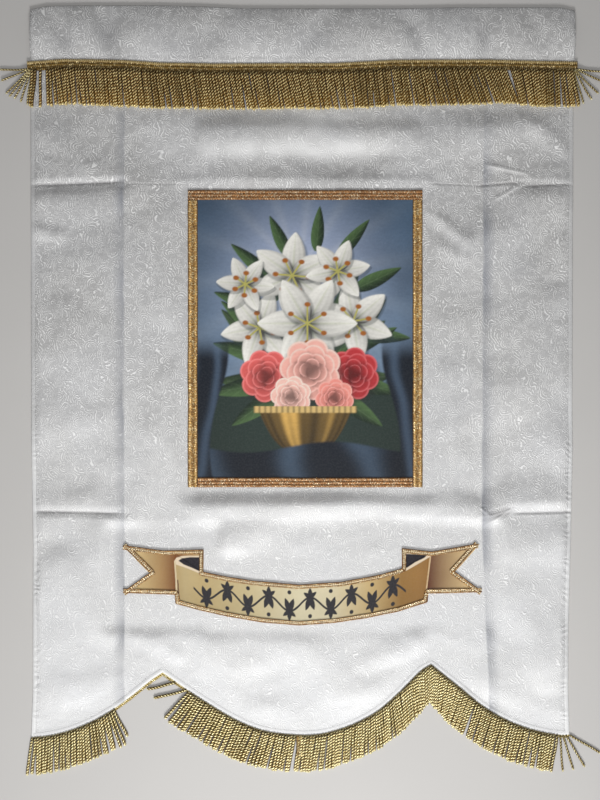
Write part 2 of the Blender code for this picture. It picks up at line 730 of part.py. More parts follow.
def make_ribbon(print_material, braid_material, collection):
    """Printed ribbon and the narrow braid sewn on inside its outline."""
    outline = [*RIBBON_UPPER, RIBBON_NOTCH_RIGHT, *RIBBON_LOWER, RIBBON_NOTCH_LEFT]
    curve, height = flat_curve("ribbon_print", outline, PRINT_THICK / 2, PRINT_LEVEL)
    ribbon = add_object("ribbon_print", curve, print_material, collection)
    ribbon.location.z = height
    lengths = (
        ("ribbon_braid_upper", RIBBON_UPPER, 0.0),
        ("ribbon_braid_right", (RIBBON_UPPER[-1], RIBBON_NOTCH_RIGHT, RIBBON_LOWER[0]), RIBBON_BRAID_TRIM),
        ("ribbon_braid_lower", RIBBON_LOWER, 0.0),
        ("ribbon_braid_left", (RIBBON_LOWER[-1], RIBBON_NOTCH_LEFT, RIBBON_UPPER[0]), RIBBON_BRAID_TRIM),
    )
    for name, points, trim in lengths:
        line = offset_line([np.array(point) for point in points], RIBBON_BRAID_INSET)
        if trim:
            line = trimmed(line, trim)
        braid = bpy.data.curves.new(name, "CURVE")
        braid.dimensions = "3D"
        braid.bevel_depth = RIBBON_BRAID_HALF
        braid.bevel_resolution = 1
        braid.use_fill_caps = True
        spline = braid.splines.new("POLY")
        spline.points.add(len(line) - 1)
        for place, point in zip(spline.points, line):
            place.co = (point[0], point[1], 0.0, 1.0)
        thing = add_object(name, braid, braid_material, collection)
        thing.scale.z = RIBBON_BRAID_FLATTEN
        thing.location.z = BRAID_LEVEL + RIBBON_BRAID_HALF * RIBBON_BRAID_FLATTEN


def main():
    """Clear the scene and build the banner."""
    for thing in list(bpy.data.objects):
        bpy.data.objects.remove(thing)
    collection = bpy.data.collections.new("church_banner")
    bpy.context.scene.collection.children.link(collection)
    satin = new_material("satin", (0.80, 0.80, 0.79), 0.45)
    fringe_gold = new_material("fringe", (0.52, 0.42, 0.16), 0.35, 0.7)
    braid_gold = new_material("braid", (0.66, 0.45, 0.20), 0.35, 0.7)
    picture_satin = new_material("picture", (0.36, 0.44, 0.54), 0.5)
    ribbon_satin = new_material("ribbon", (0.78, 0.64, 0.40), 0.5)
    make_panel(satin, collection)
    make_rod_pocket(satin, collection)
    make_top_fringe(fringe_gold, collection)
    left_x = float(HEM[0][0])
    right_x = float(HEM[-1][0])
    make_hem_fringe("fringe_hem_left", left_x, HEM_MEETING_X - GAP, fringe_gold, collection)
    make_hem_fringe("fringe_hem_right", HEM_MEETING_X + GAP, right_x, fringe_gold, collection)
    make_tab(braid_gold, collection)
    make_picture(picture_satin, braid_gold, collection)
    make_ribbon(ribbon_satin, braid_gold, collection)


main()
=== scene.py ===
import math
import bpy
import numpy as np
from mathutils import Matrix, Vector


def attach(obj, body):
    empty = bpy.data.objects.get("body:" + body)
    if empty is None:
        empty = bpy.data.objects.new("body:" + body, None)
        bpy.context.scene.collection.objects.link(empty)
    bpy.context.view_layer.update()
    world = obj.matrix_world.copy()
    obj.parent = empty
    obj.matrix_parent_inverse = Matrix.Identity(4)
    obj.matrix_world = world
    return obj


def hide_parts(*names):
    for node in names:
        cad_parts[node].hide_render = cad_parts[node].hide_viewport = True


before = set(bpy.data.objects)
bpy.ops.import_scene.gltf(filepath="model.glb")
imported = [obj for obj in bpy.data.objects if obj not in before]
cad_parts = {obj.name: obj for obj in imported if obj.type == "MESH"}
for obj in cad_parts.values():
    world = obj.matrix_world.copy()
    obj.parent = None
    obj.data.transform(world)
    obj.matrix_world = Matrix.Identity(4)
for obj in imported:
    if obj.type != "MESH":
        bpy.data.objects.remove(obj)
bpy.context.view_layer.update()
print("frame loaded:", len(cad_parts), "solids")


def metres(rows, plain=0):
    # rows of tenths of a millimetre as metres; the last plain columns stay as they are
    return [tuple(value / 10000 for value in row[:len(row) - plain]) + row[len(row) - plain:] for row in rows]


def ease(t):
    # smooth step from 0 to 1
    t = np.clip(t, 0.0, 1.0)
    return t * t * (3.0 - 2.0 * t)


def lookUp(table, key, index):
    # one column of a table at a key, straight between its rows
    rows = sorted(table)
    return np.interp(key, [row[0] for row in rows], [row[index] for row in rows])


def softNoise(x, y, size, seed):
    # hashed values on a square lattice, eased between its corners; from -1 to 1
    gx, gy = np.broadcast_arrays(np.asarray(x, float) / size, np.asarray(y, float) / size)
    ix, iy = np.floor(gx).astype(np.int64), np.floor(gy).astype(np.int64)
    fx, fy = ease(gx - ix), ease(gy - iy)

    def corner(a, b):
        h = ((ix + a) * 374761393 + (iy + b) * 668265263 + seed * 1442695041) & 0xFFFFFFFF
        h = ((h ^ (h >> 13)) * 1274126177) & 0xFFFFFFFF
        return ((h ^ (h >> 16)) & 0xFFFF) / 32767.5 - 1.0

    low = corner(0, 0) * (1 - fx) + corner(1, 0) * fx
    high = corner(0, 1) * (1 - fx) + corner(1, 1) * fx
    return low * (1 - fy) + high * fy


def turned(x, y, degrees):
    # how far along a way at this angle, and how far to its left
    cos, sin = math.cos(math.radians(degrees)), math.sin(math.radians(degrees))
    return x * cos + y * sin, y * cos - x * sin


def runSoFar(points):
    # length of a line up to each of its points
    return np.concatenate(([0.0], np.cumsum(np.hypot(*np.diff(points, axis=0).T))))


def lineDistance(x, y, x0, y0, x1, y1):
    # share along a straight line and distance from it
    dx, dy = x1 - x0, y1 - y0
    along = np.clip(((x - x0) * dx + (y - y0) * dy) / (dx * dx + dy * dy), 0.0, 1.0)
    return along, np.hypot(x - x0 - along * dx, y - y0 - along * dy)


def linked(name, data):
    # a new object in the scene's own collection
    made = bpy.data.objects.new(name, data)
    bpy.context.scene.collection.objects.link(made)
    return made


def gridCells(rows, columns, closed):
    # row and column of each cell of a grid of points
    i, j = np.meshgrid(np.arange(rows - 1), np.arange(columns if closed else columns - 1), indexing="ij")
    return i.ravel(), j.ravel()


def gridQuads(rows, columns, closed=False):
    # corner numbers of those cells; a closed grid's last column joins its first
    i, j = gridCells(rows, columns, closed)
    k = (j + 1) % columns
    return np.stack((i * columns + j, i * columns + k, (i + 1) * columns + k, (i + 1) * columns + j), -1)


def gridCorners(rows, columns, along):
    # column number and place along the run for each corner of a closed grid's cells
    i, j = gridCells(rows, columns, True)
    return np.stack((np.stack((j, j + 1, j + 1, j), -1), along[np.stack((i, i, i + 1, i + 1), -1)]), -1)


def addPiece(name, points, quads, material, node, caps=(), corners=None, values=None, colours=None,
             solid=True):
    # points and faces become one mesh; a closed one is turned so that its volume is positive
    points, quads, caps = np.asarray(points, float).reshape(-1, 3), np.asarray(quads), [list(cap) for cap in caps]
    if solid:
        a, b, c, d = (points[quads[:, k]] for k in range(4))
        volume = (np.cross(a, b) * c).sum() + (np.cross(a, c) * d).sum()
        for cap in caps:
            ring = points[cap]
            volume += (np.cross(np.broadcast_to(ring[0], ring[1:-1].shape), ring[1:-1]) * ring[2:]).sum()
        if volume < 0:
            quads, caps = quads[:, ::-1], [cap[::-1] for cap in caps]
            corners = None if corners is None else corners[:, ::-1]
    mesh = bpy.data.meshes.new(name)
    mesh.from_pydata(points.tolist(), [], quads.tolist() + caps)
    if corners is not None:
        flat = np.zeros((len(mesh.loops), 2), np.float32)
        flat[:quads.size] = corners.reshape(-1, 2)
        mesh.uv_layers.new(name="thread").data.foreach_set("uv", flat.ravel())
    for key, value in (values or {}).items():
        mesh.attributes.new(key, "FLOAT", "POINT").data.foreach_set("value", np.ravel(value).astype(np.float32))
    if colours is not None:
        full = np.ones((len(points), 4), np.float32)
        full[:, :3] = colours
        mesh.attributes.new("paint", "FLOAT_COLOR", "POINT").data.foreach_set("color", full.ravel())
    mesh.polygons.foreach_set("use_smooth", np.ones(len(mesh.polygons), bool))
    mesh.update()
    mesh.materials.append(material)
    piece = linked(name, mesh)
    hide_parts(node)
    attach(piece, "root")
    return piece


def tinted(amount, colour):
    # a colour scaled point by point
    return amount[..., None] * np.array(colour)


class Canvas:
    # paint laid over what is there, by a mask from 0 to 1
    def __init__(self, tones):
        self.tones = tones

    def lay(self, mask, colour):
        self.tones = self.tones * (1 - mask[..., None]) + np.asarray(colour) * mask[..., None]


class Wire:
    # a number on its way through a material; Python operators add Math nodes
    def __init__(self, finish, socket):
        self.finish, self.socket = finish, socket

    def math(self, operation, first, second=None):
        sockets = {0: first} if second is None else {0: first, 1: second}
        return self.finish.add("ShaderNodeMath", {"operation": operation}, sockets)

    def __add__(self, other): return self.math("ADD", self, other)
    def __radd__(self, other): return self.math("ADD", other, self)
    def __sub__(self, other): return self.math("SUBTRACT", self, other)
    def __rsub__(self, other): return self.math("SUBTRACT", other, self)
    def __mul__(self, other): return self.math("MULTIPLY", self, other)
    def __rmul__(self, other): return self.math("MULTIPLY", other, self)
    def __truediv__(self, other): return self.math("DIVIDE", self, other)
    def __rtruediv__(self, other): return self.math("DIVIDE", other, self)
    def __pow__(self, other): return self.math("POWER", self, other)
    def sine(self): return self.math("SINE", self)
    def size(self): return self.math("ABSOLUTE", self)
    def atMost(self, other): return self.math("MINIMUM", self, other)
    def atLeast(self, other): return self.math("MAXIMUM", self, other)
    def step(self, low, high):
        # 0 below low, 1 above high, eased between
        return self.finish.add("ShaderNodeMapRange", {"interpolation_type": "SMOOTHSTEP"},
                               {"Value": self, "From Min": low, "From Max": high}, "Result")


class Finish:
    # one material, with its Principled shader at the end
    def __init__(self, name, **constants):
        self.material = bpy.data.materials.new(name)
        self.material.use_nodes = True
        self.tree = self.material.node_tree
        self.shader = self.tree.nodes["Principled BSDF"]
        for key, value in constants.items():
            self.shader.inputs[key.replace("_", " ")].default_value = value

    def add(self, kind, settings, sockets, out=0):
        made = self.tree.nodes.new(kind)
        for key, value in settings.items():
            setattr(made, key, value)
        for key, value in sockets.items():
            if isinstance(value, Wire):
                self.tree.links.new(value.socket, made.inputs[key])
            elif isinstance(value, tuple) and made.inputs[key].type == "RGBA":
                made.inputs[key].default_value = (*value, 1.0)
            else:
                made.inputs[key].default_value = value
        return Wire(self, made.outputs[out])

    def place(self):
        return self.add("ShaderNodeTexCoord", {}, {}, "Object")

    def value(self, name, out="Fac"):
        return self.add("ShaderNodeAttribute", {"attribute_name": name}, {}, out)

    def parts(self, vector):
        node = self.add("ShaderNodeSeparateXYZ", {}, {0: vector}).socket.node
        return [Wire(self, node.outputs[k]) for k in range(3)]

    def thread(self):
        # place round a strand or across a braid, and along it
        return self.parts(self.add("ShaderNodeUVMap", {"uv_map": "thread"}, {}))[:2]

    def vector(self, operation, first, second):
        other = "Scale" if operation == "SCALE" else 1
        return self.add("ShaderNodeVectorMath", {"operation": operation}, {0: first, other: second})

    def noise(self, vector, scale, detail=2.0, rough=0.5, out=0):
        return self.add("ShaderNodeTexNoise", {}, {"Vector": vector, "Scale": scale, "Detail": detail,
                                                   "Roughness": rough}, out)

    def mix(self, share, a, b):
        return self.add("ShaderNodeMix", {"data_type": "RGBA"}, {0: share, 6: a, 7: b}, 2)

    def layers(self, tone, *laid):
        # colours laid over a tone one after another, each by its share
        for share, colour in laid:
            tone = self.mix(share, tone, colour)
        return tone

    def bump(self, height, distance, strength):
        sockets = {"Height": height, "Distance": distance, "Strength": strength}
        return self.add("ShaderNodeBump", {}, sockets, "Normal")

    def creases(self, x, y, lines):
        # ridges and grooves: each falls off straight from its line and thins out towards its ends
        sums = [0.0, 0.0]
        for x0, y0, x1, y1, half, height in lines:
            dx, dy = x1 - x0, y1 - y0
            along = ((x - x0) * dx + (y - y0) * dy) * (1.0 / (dx * dx + dy * dy))
            held = along.atLeast(0.0).atMost(1.0)
            aside, above = x - x0 - held * dx, y - y0 - held * dy
            away = (aside * aside + above * above) ** 0.5
            ends = 1 - ((held - 0.5) * 2).size() ** 6 * 0.6
            share = (1 - away * (1.0 / half)).atLeast(0.0) * ends * abs(height)
            which = 0 if height > 0 else 1
            sums[which] = share.atLeast(sums[which])
        return sums

    def end(self, **links):
        for key, wire in links.items():
            self.tree.links.new(wire.socket, self.shader.inputs[key.replace("_", " ")])
        return self.material


satinLook = {
    # ground is the colour at the top and groundLow at the bottom; the darkening towards the top is painted shade
    "ground": (0.42, 0.415, 0.41), "groundLow": (0.77, 0.77, 0.77), "figure": (0.98, 0.975, 0.96),
    "plain": (0.93, 0.93, 0.92), "creaseShade": (0.30, 0.310, 0.345),
    "shadeHemmed": (0.16, 0.155, 0.155), "shadeSleeve": (0.16, 0.16, 0.17),
    "curl": 42.0,           # curls per metre
    "curlTurns": 3.3, "curlReach": 0.0118,
    "sweep": 46.0, "sweepReach": 0.030, "pitch": 0.0040,
    "strokeBreak": 260.0,   # how finely the strokes are broken up
    "relief": 0.0011, "weave": 2400.0, "slub": 560.0,
    "stitchStep": 0.0034, "stitchInset": 0.0078, "puckerStep": 0.0125,
    # sharp creases: from x, y to x, y, half width, height (below zero for a groove)
    "creases": metres([(-4980, 3749, -3300, 3812, 50, -2.6), (3358, 4119, 4145, 3950, 60, 2.6),
        (3528, 3486, 3949, 3725, 60, 2.6), (3162, 3740, 3921, 3795, 45, -2.2), (4006, 3725, 4919, 3767, 45, -2.0),
        (-3254, 3775, -2130, 3775, 30, -0.8), (2224, 3790, 3150, 3755, 30, -1.0),
        (-4880, -2231, -3300, -2268, 45, -2.4), (3880, -2265, 4935, -2240, 45, -2.8),
        (3290, -2390, 3790, -2230, 90, -3.6), (3360, -2290, 3800, -2170, 80, -2.8),
        (3235, -2160, 3420, -2300, 45, 2.2), (3290, -2530, 3830, -2180, 40, 2.2)], 1),
}


def satinFinish(name, hemmed):
    # jacquard: spiral curls in scattered cells, swept lines of even spacing between them, on a fine weave
    look = satinLook
    f = Finish(name, Roughness=0.42, Specular_IOR_Level=0.55, Sheen_Weight=0.12, Sheen_Roughness=0.4)
    place = f.place()
    drift = f.vector("SUBTRACT", f.noise(place, 38.0, 1.0, out=1), (0.5, 0.5, 0.5))
    warped = f.vector("ADD", place, f.vector("SCALE", drift, 0.016))
    centre = f.add("ShaderNodeTexVoronoi", {"voronoi_dimensions": "2D", "feature": "F1"},
                   {"Vector": warped, "Scale": look["curl"], "Randomness": 0.8}, "Position")
    red, green, _ = f.parts(Wire(f, centre.socket.node.outputs["Color"]))
    dx, dy, _ = f.parts(f.vector("SUBTRACT", warped, centre))
    reach = (dx * dx + dy * dy) ** 0.5
    turn = dx.math("ARCTAN2", dy, dx)
    half = green - 0.5
    swirl = (turn * half.math("SIGN", half) + reach * (look["curlTurns"] * math.tau / look["curlReach"])
             + red * math.tau).sine()
    breaks = f.noise(place, look["strokeBreak"], 0.5)
    outside = (reach - (red * (look["curlReach"] * 0.7) + look["curlReach"] * 0.35)).step(0.0, 0.003)
    opening = (turn + red * math.tau).sine().step(-0.55, -0.05)
    curls = swirl.step(0.05, 0.80) * breaks.step(0.32, 0.44) * (1 - outside) * opening
    swept = f.vector("SCALE", f.noise(place, look["sweep"], 0.6, out=1), look["sweepReach"])
    sweptX, sweptY, _ = f.parts(f.vector("ADD", place, swept))
    veins = ((sweptX + sweptY * 0.4) * (math.tau / look["pitch"])).sine().step(0.0, 0.80) * breaks.step(0.34, 0.48)
    patch = f.noise(place, 17.0, 1.0).step(0.25, 0.50)
    figure = curls.atLeast(veins * outside) * (0.66 + 0.26 * patch)
    weave = f.noise(place, look["weave"], 1.0)
    slub = f.noise(place, look["slub"], 2.0, 0.7)
    wide, high, _ = f.parts(place)
    if hemmed:
        ridges, grooves = f.creases(wide, high, look["creases"])
        inset, run, crease, side = (f.value(k) for k in ("inset", "run", "crease", "side"))
        inside = inset.step(0.0068, 0.0084)
        figure = figure * (0.25 + 0.75 * inside)
        stitch = ((run * (math.tau / look["stitchStep"])).sine().step(-0.2, 0.3)
                  * (1 - (inset - look["stitchInset"]).size().step(0.0003, 0.0009)))
        patches = f.noise(place, 23.0, 1.0).step(0.36, 0.60)
        pucker = ((run * (math.tau / look["puckerStep"]) + f.noise(place, 40.0, 0.5) * 14.0).sine()
                  * (1 - (inset - 0.0090).size().step(0.0, 0.010)) * (side * patches))
    # the ground darkens towards the top as painted shade, so the figure stands out more there
    tone = f.layers(look["groundLow"], (high.step(-0.75, 0.35), look["ground"]),
                    (slub.step(0.32, 0.72) * 0.44, look["figure"]), (figure, look["figure"]))
    height = figure + weave * 0.12 + slub * 0.5
    if hemmed:
        height = height + pucker * 0.7 - stitch + ridges - grooves
        tone = f.layers(tone, ((1 - inside) * (0.20 + side * 0.60), look["plain"]),
                        # painted shade along the puckers
                        (stitch * 0.5, (0.55, 0.55, 0.54)), (pucker.step(0.2, 1.0) * 0.15, (0.40, 0.41, 0.45)),
                        # painted shade in the grooves and painted highlight on the ridges of the sharp creases
                        (grooves.step(0.3, 2.2) * 0.45, (0.20, 0.19, 0.19)),
                        (ridges.step(0.3, 2.2) * 0.35, look["figure"]),
                        # painted shade beside the upright creases, then painted highlights where gleam is set
                        (crease * (0.75 + 0.5 * slub), look["creaseShade"]), (f.value("gleam"), look["figure"]))
    tone = f.layers(tone, (f.value("shade"), look["shadeHemmed"] if hemmed else look["shadeSleeve"]),
                    # soft bluish blotches of painted shade
                    (f.noise(place, 6.0, 2.0).step(0.35, 0.7) * 0.10, (0.80, 0.83, 0.90)))
    return f.end(Base_Color=tone, Roughness=0.50 - figure * 0.16 + weave * 0.06,
                 Normal=f.bump(height, look["relief"], 0.55))


cordLook = {
    # groove: painted shade between the plies and down the cord's sides; bead and beadPale: painted highlights on the
    # plies' crowns, also the colour of the pale tips
    "groove": (0.030, 0.013, 0.001), "ply": (0.25, 0.108, 0.010), "plyPale": (0.44, 0.285, 0.060),
    "bead": (1.0, 0.83, 0.40), "amber": (0.36, 0.170, 0.014), "beadPale": (1.0, 0.91, 0.52),
    "lay": 0.0110,          # one full turn of the two plies
    "depth": 0.0014,
}


def cordFinish(name, brighter):
    # two plies laid round each other, each wrapped with a fine metal foil; the grooves and sides in painted shade,
    # painted highlights on the plies' crowns
    look = cordLook
    f = Finish(name, Metallic=0.35, Roughness=0.38, Specular_IOR_Level=0.25)
    around, along = f.thread()
    tone, end = f.value("tone"), f.value("end")
    ply = ((around * 2.0 - along * (2.0 / look["lay"]) + tone * 3.0) * math.pi).sine().size()
    beside = (around - 0.25).size()
    crown = ply.step(0.62 - 0.08 * brighter, 0.90 - 0.04 * brighter) * (1 - beside.step(0.08, 0.21))
    foil = ((around * 2.0 + along * (1.0 / 0.0009)) * math.pi).sine().size()
    fleck = f.noise(f.place(), 500.0, 1.0)
    plyTone, bead = (tuple(a + (b - a) * brighter for a, b in zip(look[dull], look[light]))
                     for dull, light in (("ply", "plyPale"), ("bead", "beadPale")))
    dull = 0.10 + 0.25 * brighter
    # the groove colour stays as painted shade between the plies and down the sides; the ply colour keeps to the top
    body = f.layers(look["groove"], (ply.step(0.20, 0.72) * (1 - beside.step(0.13, 0.24) * 0.8), plyTone),
                    (end.step(0.45, 0.90) * (0.55 - 0.35 * brighter), look["amber"]),
                    # painted highlights on the crown of each ply, broken by flecks
                    (crown * (dull + (1 - dull) * fleck.step(0.38, 0.54)), bead),
                    (tone.step(0.40, 1.0) * (0.50 - 0.25 * brighter), (0.08, 0.042, 0.006)),
                    (end.step(0.93, 0.99) * 0.75, bead))
    return f.end(Base_Color=body, Roughness=0.46 - crown * 0.14,
                 Normal=f.bump(ply + foil * 0.06, look["depth"], 1.0))


def tapeFinish(name, base, dark, pale, step, rows, depth, beads=0.0, dashes=0.0, glitter=0.0):
    # a flat metal braid: rows of small slanted loops with painted shade between them, scattered painted glints,
    # beads or dashes on its first edge
    f = Finish(name, Metallic=0.45, Roughness=0.4, Specular_IOR_Level=0.6)
    across, along = f.thread()
    place = f.place()
    wander = f.noise(place, 240.0, 1.0)
    row = across * rows
    slant = row.math("PINGPONG", row, 1.0) * 0.8
    loop = ((along * (1.0 / step) + slant + wander * 0.7) * math.pi).sine().size()
    relief = loop * 0.6 + (row * math.pi).sine().size() * 0.5
    speck = f.add("ShaderNodeTexVoronoi", {"feature": "F1"}, {"Vector": place, "Scale": 420.0}, "Color")
    sr, sg, _ = f.parts(speck)
    glint = sr.step(0.62 - 0.12 * glitter, 0.95 - 0.15 * glitter) * loop.step(0.3, 0.9) * 0.85
    first = 1 - across.step(0.14, 0.30)
    run = along * (math.pi / step)
    beat = (run + wander * 1.5).sine().size()
    # the dark colour stays in the hollows between the loops as painted shade; the glints are painted highlights
    laid = [(relief.step(0.25, 0.95), base), (f.noise(place, 26.0, 2.0).step(0.35, 0.65) * 0.35, dark),
            (glint, pale)]
    if glitter:
        rim = (across - 0.5).size().step(0.40, 0.47) * (run + wander * 2.0).sine().size().step(0.35, 0.7)
        laid += [(sg.step(0.60, 0.85) * glitter, dark), (rim * glitter, dark)]
    if beads:
        # pale beads on the first edge, and a painted shadow along the far edge
        laid += [(first * beat.step(0.35, 0.8) * beads, pale), (across.step(0.86, 0.98) * 0.7, dark)]
    if dashes:
        middle = 1 - (across - 0.55).size().step(0.16, 0.26)
        laid += [(first * (1 - beat.step(0.25, 0.65)) * dashes, dark), (middle * beat.step(0.3, 0.8) * 0.75, pale)]
    return f.end(Base_Color=f.layers(dark, *laid), Normal=f.bump(relief + sg * 0.25, depth, 0.9),
                 Roughness=0.5 - sr * 0.2)


def paintFinish(name, grain):
    # a print on satin: the painted colours, a fine weave and a soft shine
    f = Finish(name, Roughness=0.45, Specular_IOR_Level=0.22)
    place = f.place()
    weave, mottle = f.noise(place, grain, 1.0), f.noise(place, 300.0, 2.0)
    tone = f.mix(mottle.step(0.3, 0.8) * 0.015, f.value("paint", "Color"), (0.9, 0.9, 0.9))
    return f.end(Base_Color=tone, Normal=f.bump(weave + mottle * 0.4, 0.00012, 0.5), Roughness=0.40 + weave * 0.12)


satin = satinFinish("satinPanel", True)
satinSleeve = satinFinish("satinSleeve", False)
goldCord = cordFinish("goldCord", 0.0)
paleCord = cordFinish("goldCordPale", 1.0)
goldTape = tapeFinish("goldTape", (0.34, 0.205, 0.042), (0.085, 0.045, 0.010), (0.92, 0.73, 0.36),
                      step=0.0036, rows=3.0, depth=0.0009, beads=0.9)
laceTape = tapeFinish("laceTape", (0.74, 0.58, 0.22), (0.20, 0.13, 0.030), (1.0, 0.93, 0.62),
                      step=0.0042, rows=2.0, depth=0.0008, beads=0.95, glitter=0.6)
copperBraid = tapeFinish("copperBraid", (0.75, 0.45, 0.140), (0.23, 0.110, 0.032), (1.0, 0.84, 0.48),
                         step=0.0030, rows=2.0, depth=0.0010, glitter=0.75)
rosyBraid = tapeFinish("rosyBraid", (0.62, 0.310, 0.118), (0.20, 0.085, 0.030), (1.0, 0.80, 0.52),
                       step=0.0030, rows=3.0, depth=0.0010, glitter=0.6)
paleBraid = tapeFinish("paleBraid", (0.68, 0.39, 0.135), (0.15, 0.055, 0.016), (1.0, 0.88, 0.60),
                       step=0.0040, rows=3.0, depth=0.0010, dashes=0.85, glitter=0.65)
print("materials ready")


panel = {
    "seamY": 0.5949, "thickness": 0.0015,
    "shoulder": 0.015,      # how far the grid lines on both sides of a crease keep to it
    "sides": metres([(5949, -5000, 4963), (2972, -4991, 4950), (-337, -4982, 4941), (-1109, -4982, 4945),
        (-2837, -4950, 4908), (-4528, -4954, 4864), (-5521, -4956, 4864), (-6385, -4991, 4890)]),
    "hemLeft": metres([(-4991, -6385), (-4651, -6348), (-4283, -6255), (-3915, -6109), (-3548, -5906),
        (-3180, -5641), (-2812, -5347), (-2581, -5190)]),
    "hemMiddle": metres([(-2581, -5190), (-2077, -5540), (-1710, -5778), (-1342, -5999), (-974, -6174),
        (-607, -6283), (-74, -6339), (312, -6321), (680, -6230), (1048, -6083), (1415, -5865), (1783, -5540),
        (2151, -5172), (2353, -5043)]),
    "hemRight": metres([(2353, -5043), (2886, -5466), (3254, -5768), (3621, -5999), (3989, -6165), (4357, -6275),
        (4724, -6336), (4890, -6330)]),
    "upright": metres([(5949, -3290, 3327), (3744, -3290, 3320), (-2267, -3290, 3290), (-6000, -3290, 3438)]),
    "cross": metres([(-5000, 3744, -2231), (-3290, 3817, -2286), (0, 3800, -2270), (3217, 3762, -2249),
        (3842, 3799, -2122), (4963, 3744, -2139)]),
    "columnCells": (34, 6, 6, 12, 96, 16, 6, 6, 32),
    "rowCells": (40, 6, 6, 84, 6, 6, 60), "crowding": 1.35,
    # raised folds: from x, y to x, y, half width, height, sharpness of the crest, 0 for a round one
    "folds": metres([(-3290, 5050, -3290, -5600, 200, 34, 1.5), (3327, 5050, 3290, -2267, 200, 32, 1.5),
        (3290, -2267, 3430, -5800, 200, 46, 1.5), (3400, -2010, 3842, -2095, 130, 50, 1.2),
        (3254, -2480, 3842, -2150, 130, 55, 1.2), (3382, 4130, 4118, 3964, 160, 42, 1.3),
        (3952, 3762, 3548, 3468, 160, 42, 1.3), (-2250, 3790, 2300, 3780, 210, 24, 0),
        (-1700, 4650, 1900, 4700, 440, 112, 0), (-1900, -2160, 3100, -2140, 340, 82, 0),
        (2250, 3300, 3050, 2720, 180, 46, 0), (2260, 2740, 2960, 2400, 160, 30, 0),
        (2600, 300, 2900, -1200, 340, 30, 0), (-2700, 800, -2600, -900, 360, 30, 0),
        (4050, 5060, 4800, 4370, 260, 55, 0), (-4900, 2950, -4500, 2850, 220, 50, 0),
        (-4900, 3350, -4450, 3250, 160, 30, 0), (-4900, 4800, -4100, 4300, 400, 40, 0),
        (-4400, 1500, -4100, -500, 450, 40, 0), (4300, 2200, 4100, 200, 450, 40, 0),
        (-4450, -3200, -3600, -4400, 450, 55, 0), (-3050, -4550, -2400, -4850, 340, 50, 0),
        (1150, -4980, 2050, -4680, 320, 45, 0), (4200, -4400, 4500, -5300, 400, 45, 0)], 1),
    # pressed creases that lie low between two raised shoulders: line, widths above and below, height
    "valleys": metres([(-5000, 3744, -3290, 3817, 120, 240, 48), (3990, 3778, 5000, 3744, 120, 260, 36),
        (-5000, -2231, -3290, -2280, 140, 120, 32), (3860, -2270, 5000, -2245, 220, 600, 84)]),
    # what is sewn on keeps the satin flat: left, right, bottom, top
    "flats": metres([(-2180, 2260, -1850, 3640), (-3480, -1650, -4300, -2600), (1650, 3480, -4300, -2550),
        (-1650, 1650, -4400, -3150)]),
    "tallest": 0.0190, "flatFade": 0.026, "creaseShadeWidth": 0.022, "creaseShadeShare": 0.98,
    # where the satin catches more or less light: centre, reach along and across, share, turn in degrees
    "lights": metres([(37, 4420, 1900, 200, 0.94, 0), (-55, 3983, 1900, 140, -0.44, 0),
        (-100, 4900, 1800, 180, 0.72, 0), (0, 3740, 2000, 80, -0.28, 0), (4357, -2139, 520, 100, 0.35, 0),
        (-4467, 3633, 550, 120, -0.44, 0), (4449, 3652, 550, 100, -0.18, 0), (0, -2170, 1900, 160, 0.48, 0),
        (-4910, -4600, 120, 1500, 0.7, 0), (2849, -2029, 450, 180, -0.14, 0), (-1985, -2120, 450, 140, -0.16, 0),
        (-2813, -4860, 450, 140, -0.16, 0), (-3235, -5356, 300, 180, -0.14, 0), (625, -4069, 320, 140, -0.12, 0),
        (-4871, 3008, 160, 60, -0.18, 0), (-4816, 2751, 160, 100, 0.25, 0), (4632, 4682, 180, 300, -0.12, 0),
        (4173, 4590, 300, 300, 0.15, 0), (-4190, 4590, 1100, 750, -0.08, 0), (2510, 3000, 420, 75, 0.34, -36),
        (2665, 3180, 180, 110, -0.12, -36), (4450, 1560, 280, 80, 0.18, -28), (4630, 1800, 220, 110, -0.1, -20),
        (4590, 2440, 240, 60, 0.15, 5), (4660, 3380, 280, 100, -0.12, 0), (3070, -5560, 180, 35, -0.18, -42),
        (3620, -5850, 220, 60, -0.24, -30), (4265, -5060, 180, 120, -0.1, 0), (-3550, -5190, 450, 160, -0.12, 20),
        (-330, 4990, 180, 120, -0.3, 0), (860, 4860, 240, 100, -0.26, 0)], 2),
    # size, height, how far they stretch along their slant, slant in degrees, seed
    "wrinkles": [(0.092, 0.0090, 1.7, 28, 3), (0.098, 0.0066, 1.5, -35, 4), (0.046, 0.0034, 1.6, 15, 8),
                 (0.021, 0.0011, 1.3, -20, 15)],
}


def smoothLine(points, steps):
    # Catmull-Rom curve through the points, steps to a stretch
    p = np.array(points)
    p = np.vstack([2 * p[0] - p[1], p, 2 * p[-1] - p[-2]])
    t = (np.arange(steps) / steps)[None, :, None]
    a, b, c, d = (p[k:len(p) - 3 + k, None, :] for k in range(4))
    curve = 0.5 * (2 * b + (c - a) * t + (2 * a - 5 * b + 4 * c - d) * t * t + (3 * b - a - 3 * c + d) * t ** 3)
    return np.vstack([curve.reshape(-1, 2), p[-2]])


hemLine = np.vstack([smoothLine(panel["hem" + part], 6)[skip:]
                     for part, skip in (("Left", 0), ("Middle", 1), ("Right", 1))])
hemRun = runSoFar(hemLine)
hemPeaks = (panel["hemMiddle"][0][0], panel["hemMiddle"][-1][0])


def hemHeight(x):
    # where the hem line is at x, and in runAt how far along it that is
    return np.interp(x, hemLine[:, 0], hemLine[:, 1])


def runAt(x):
    return np.interp(x, hemLine[:, 0], hemRun)


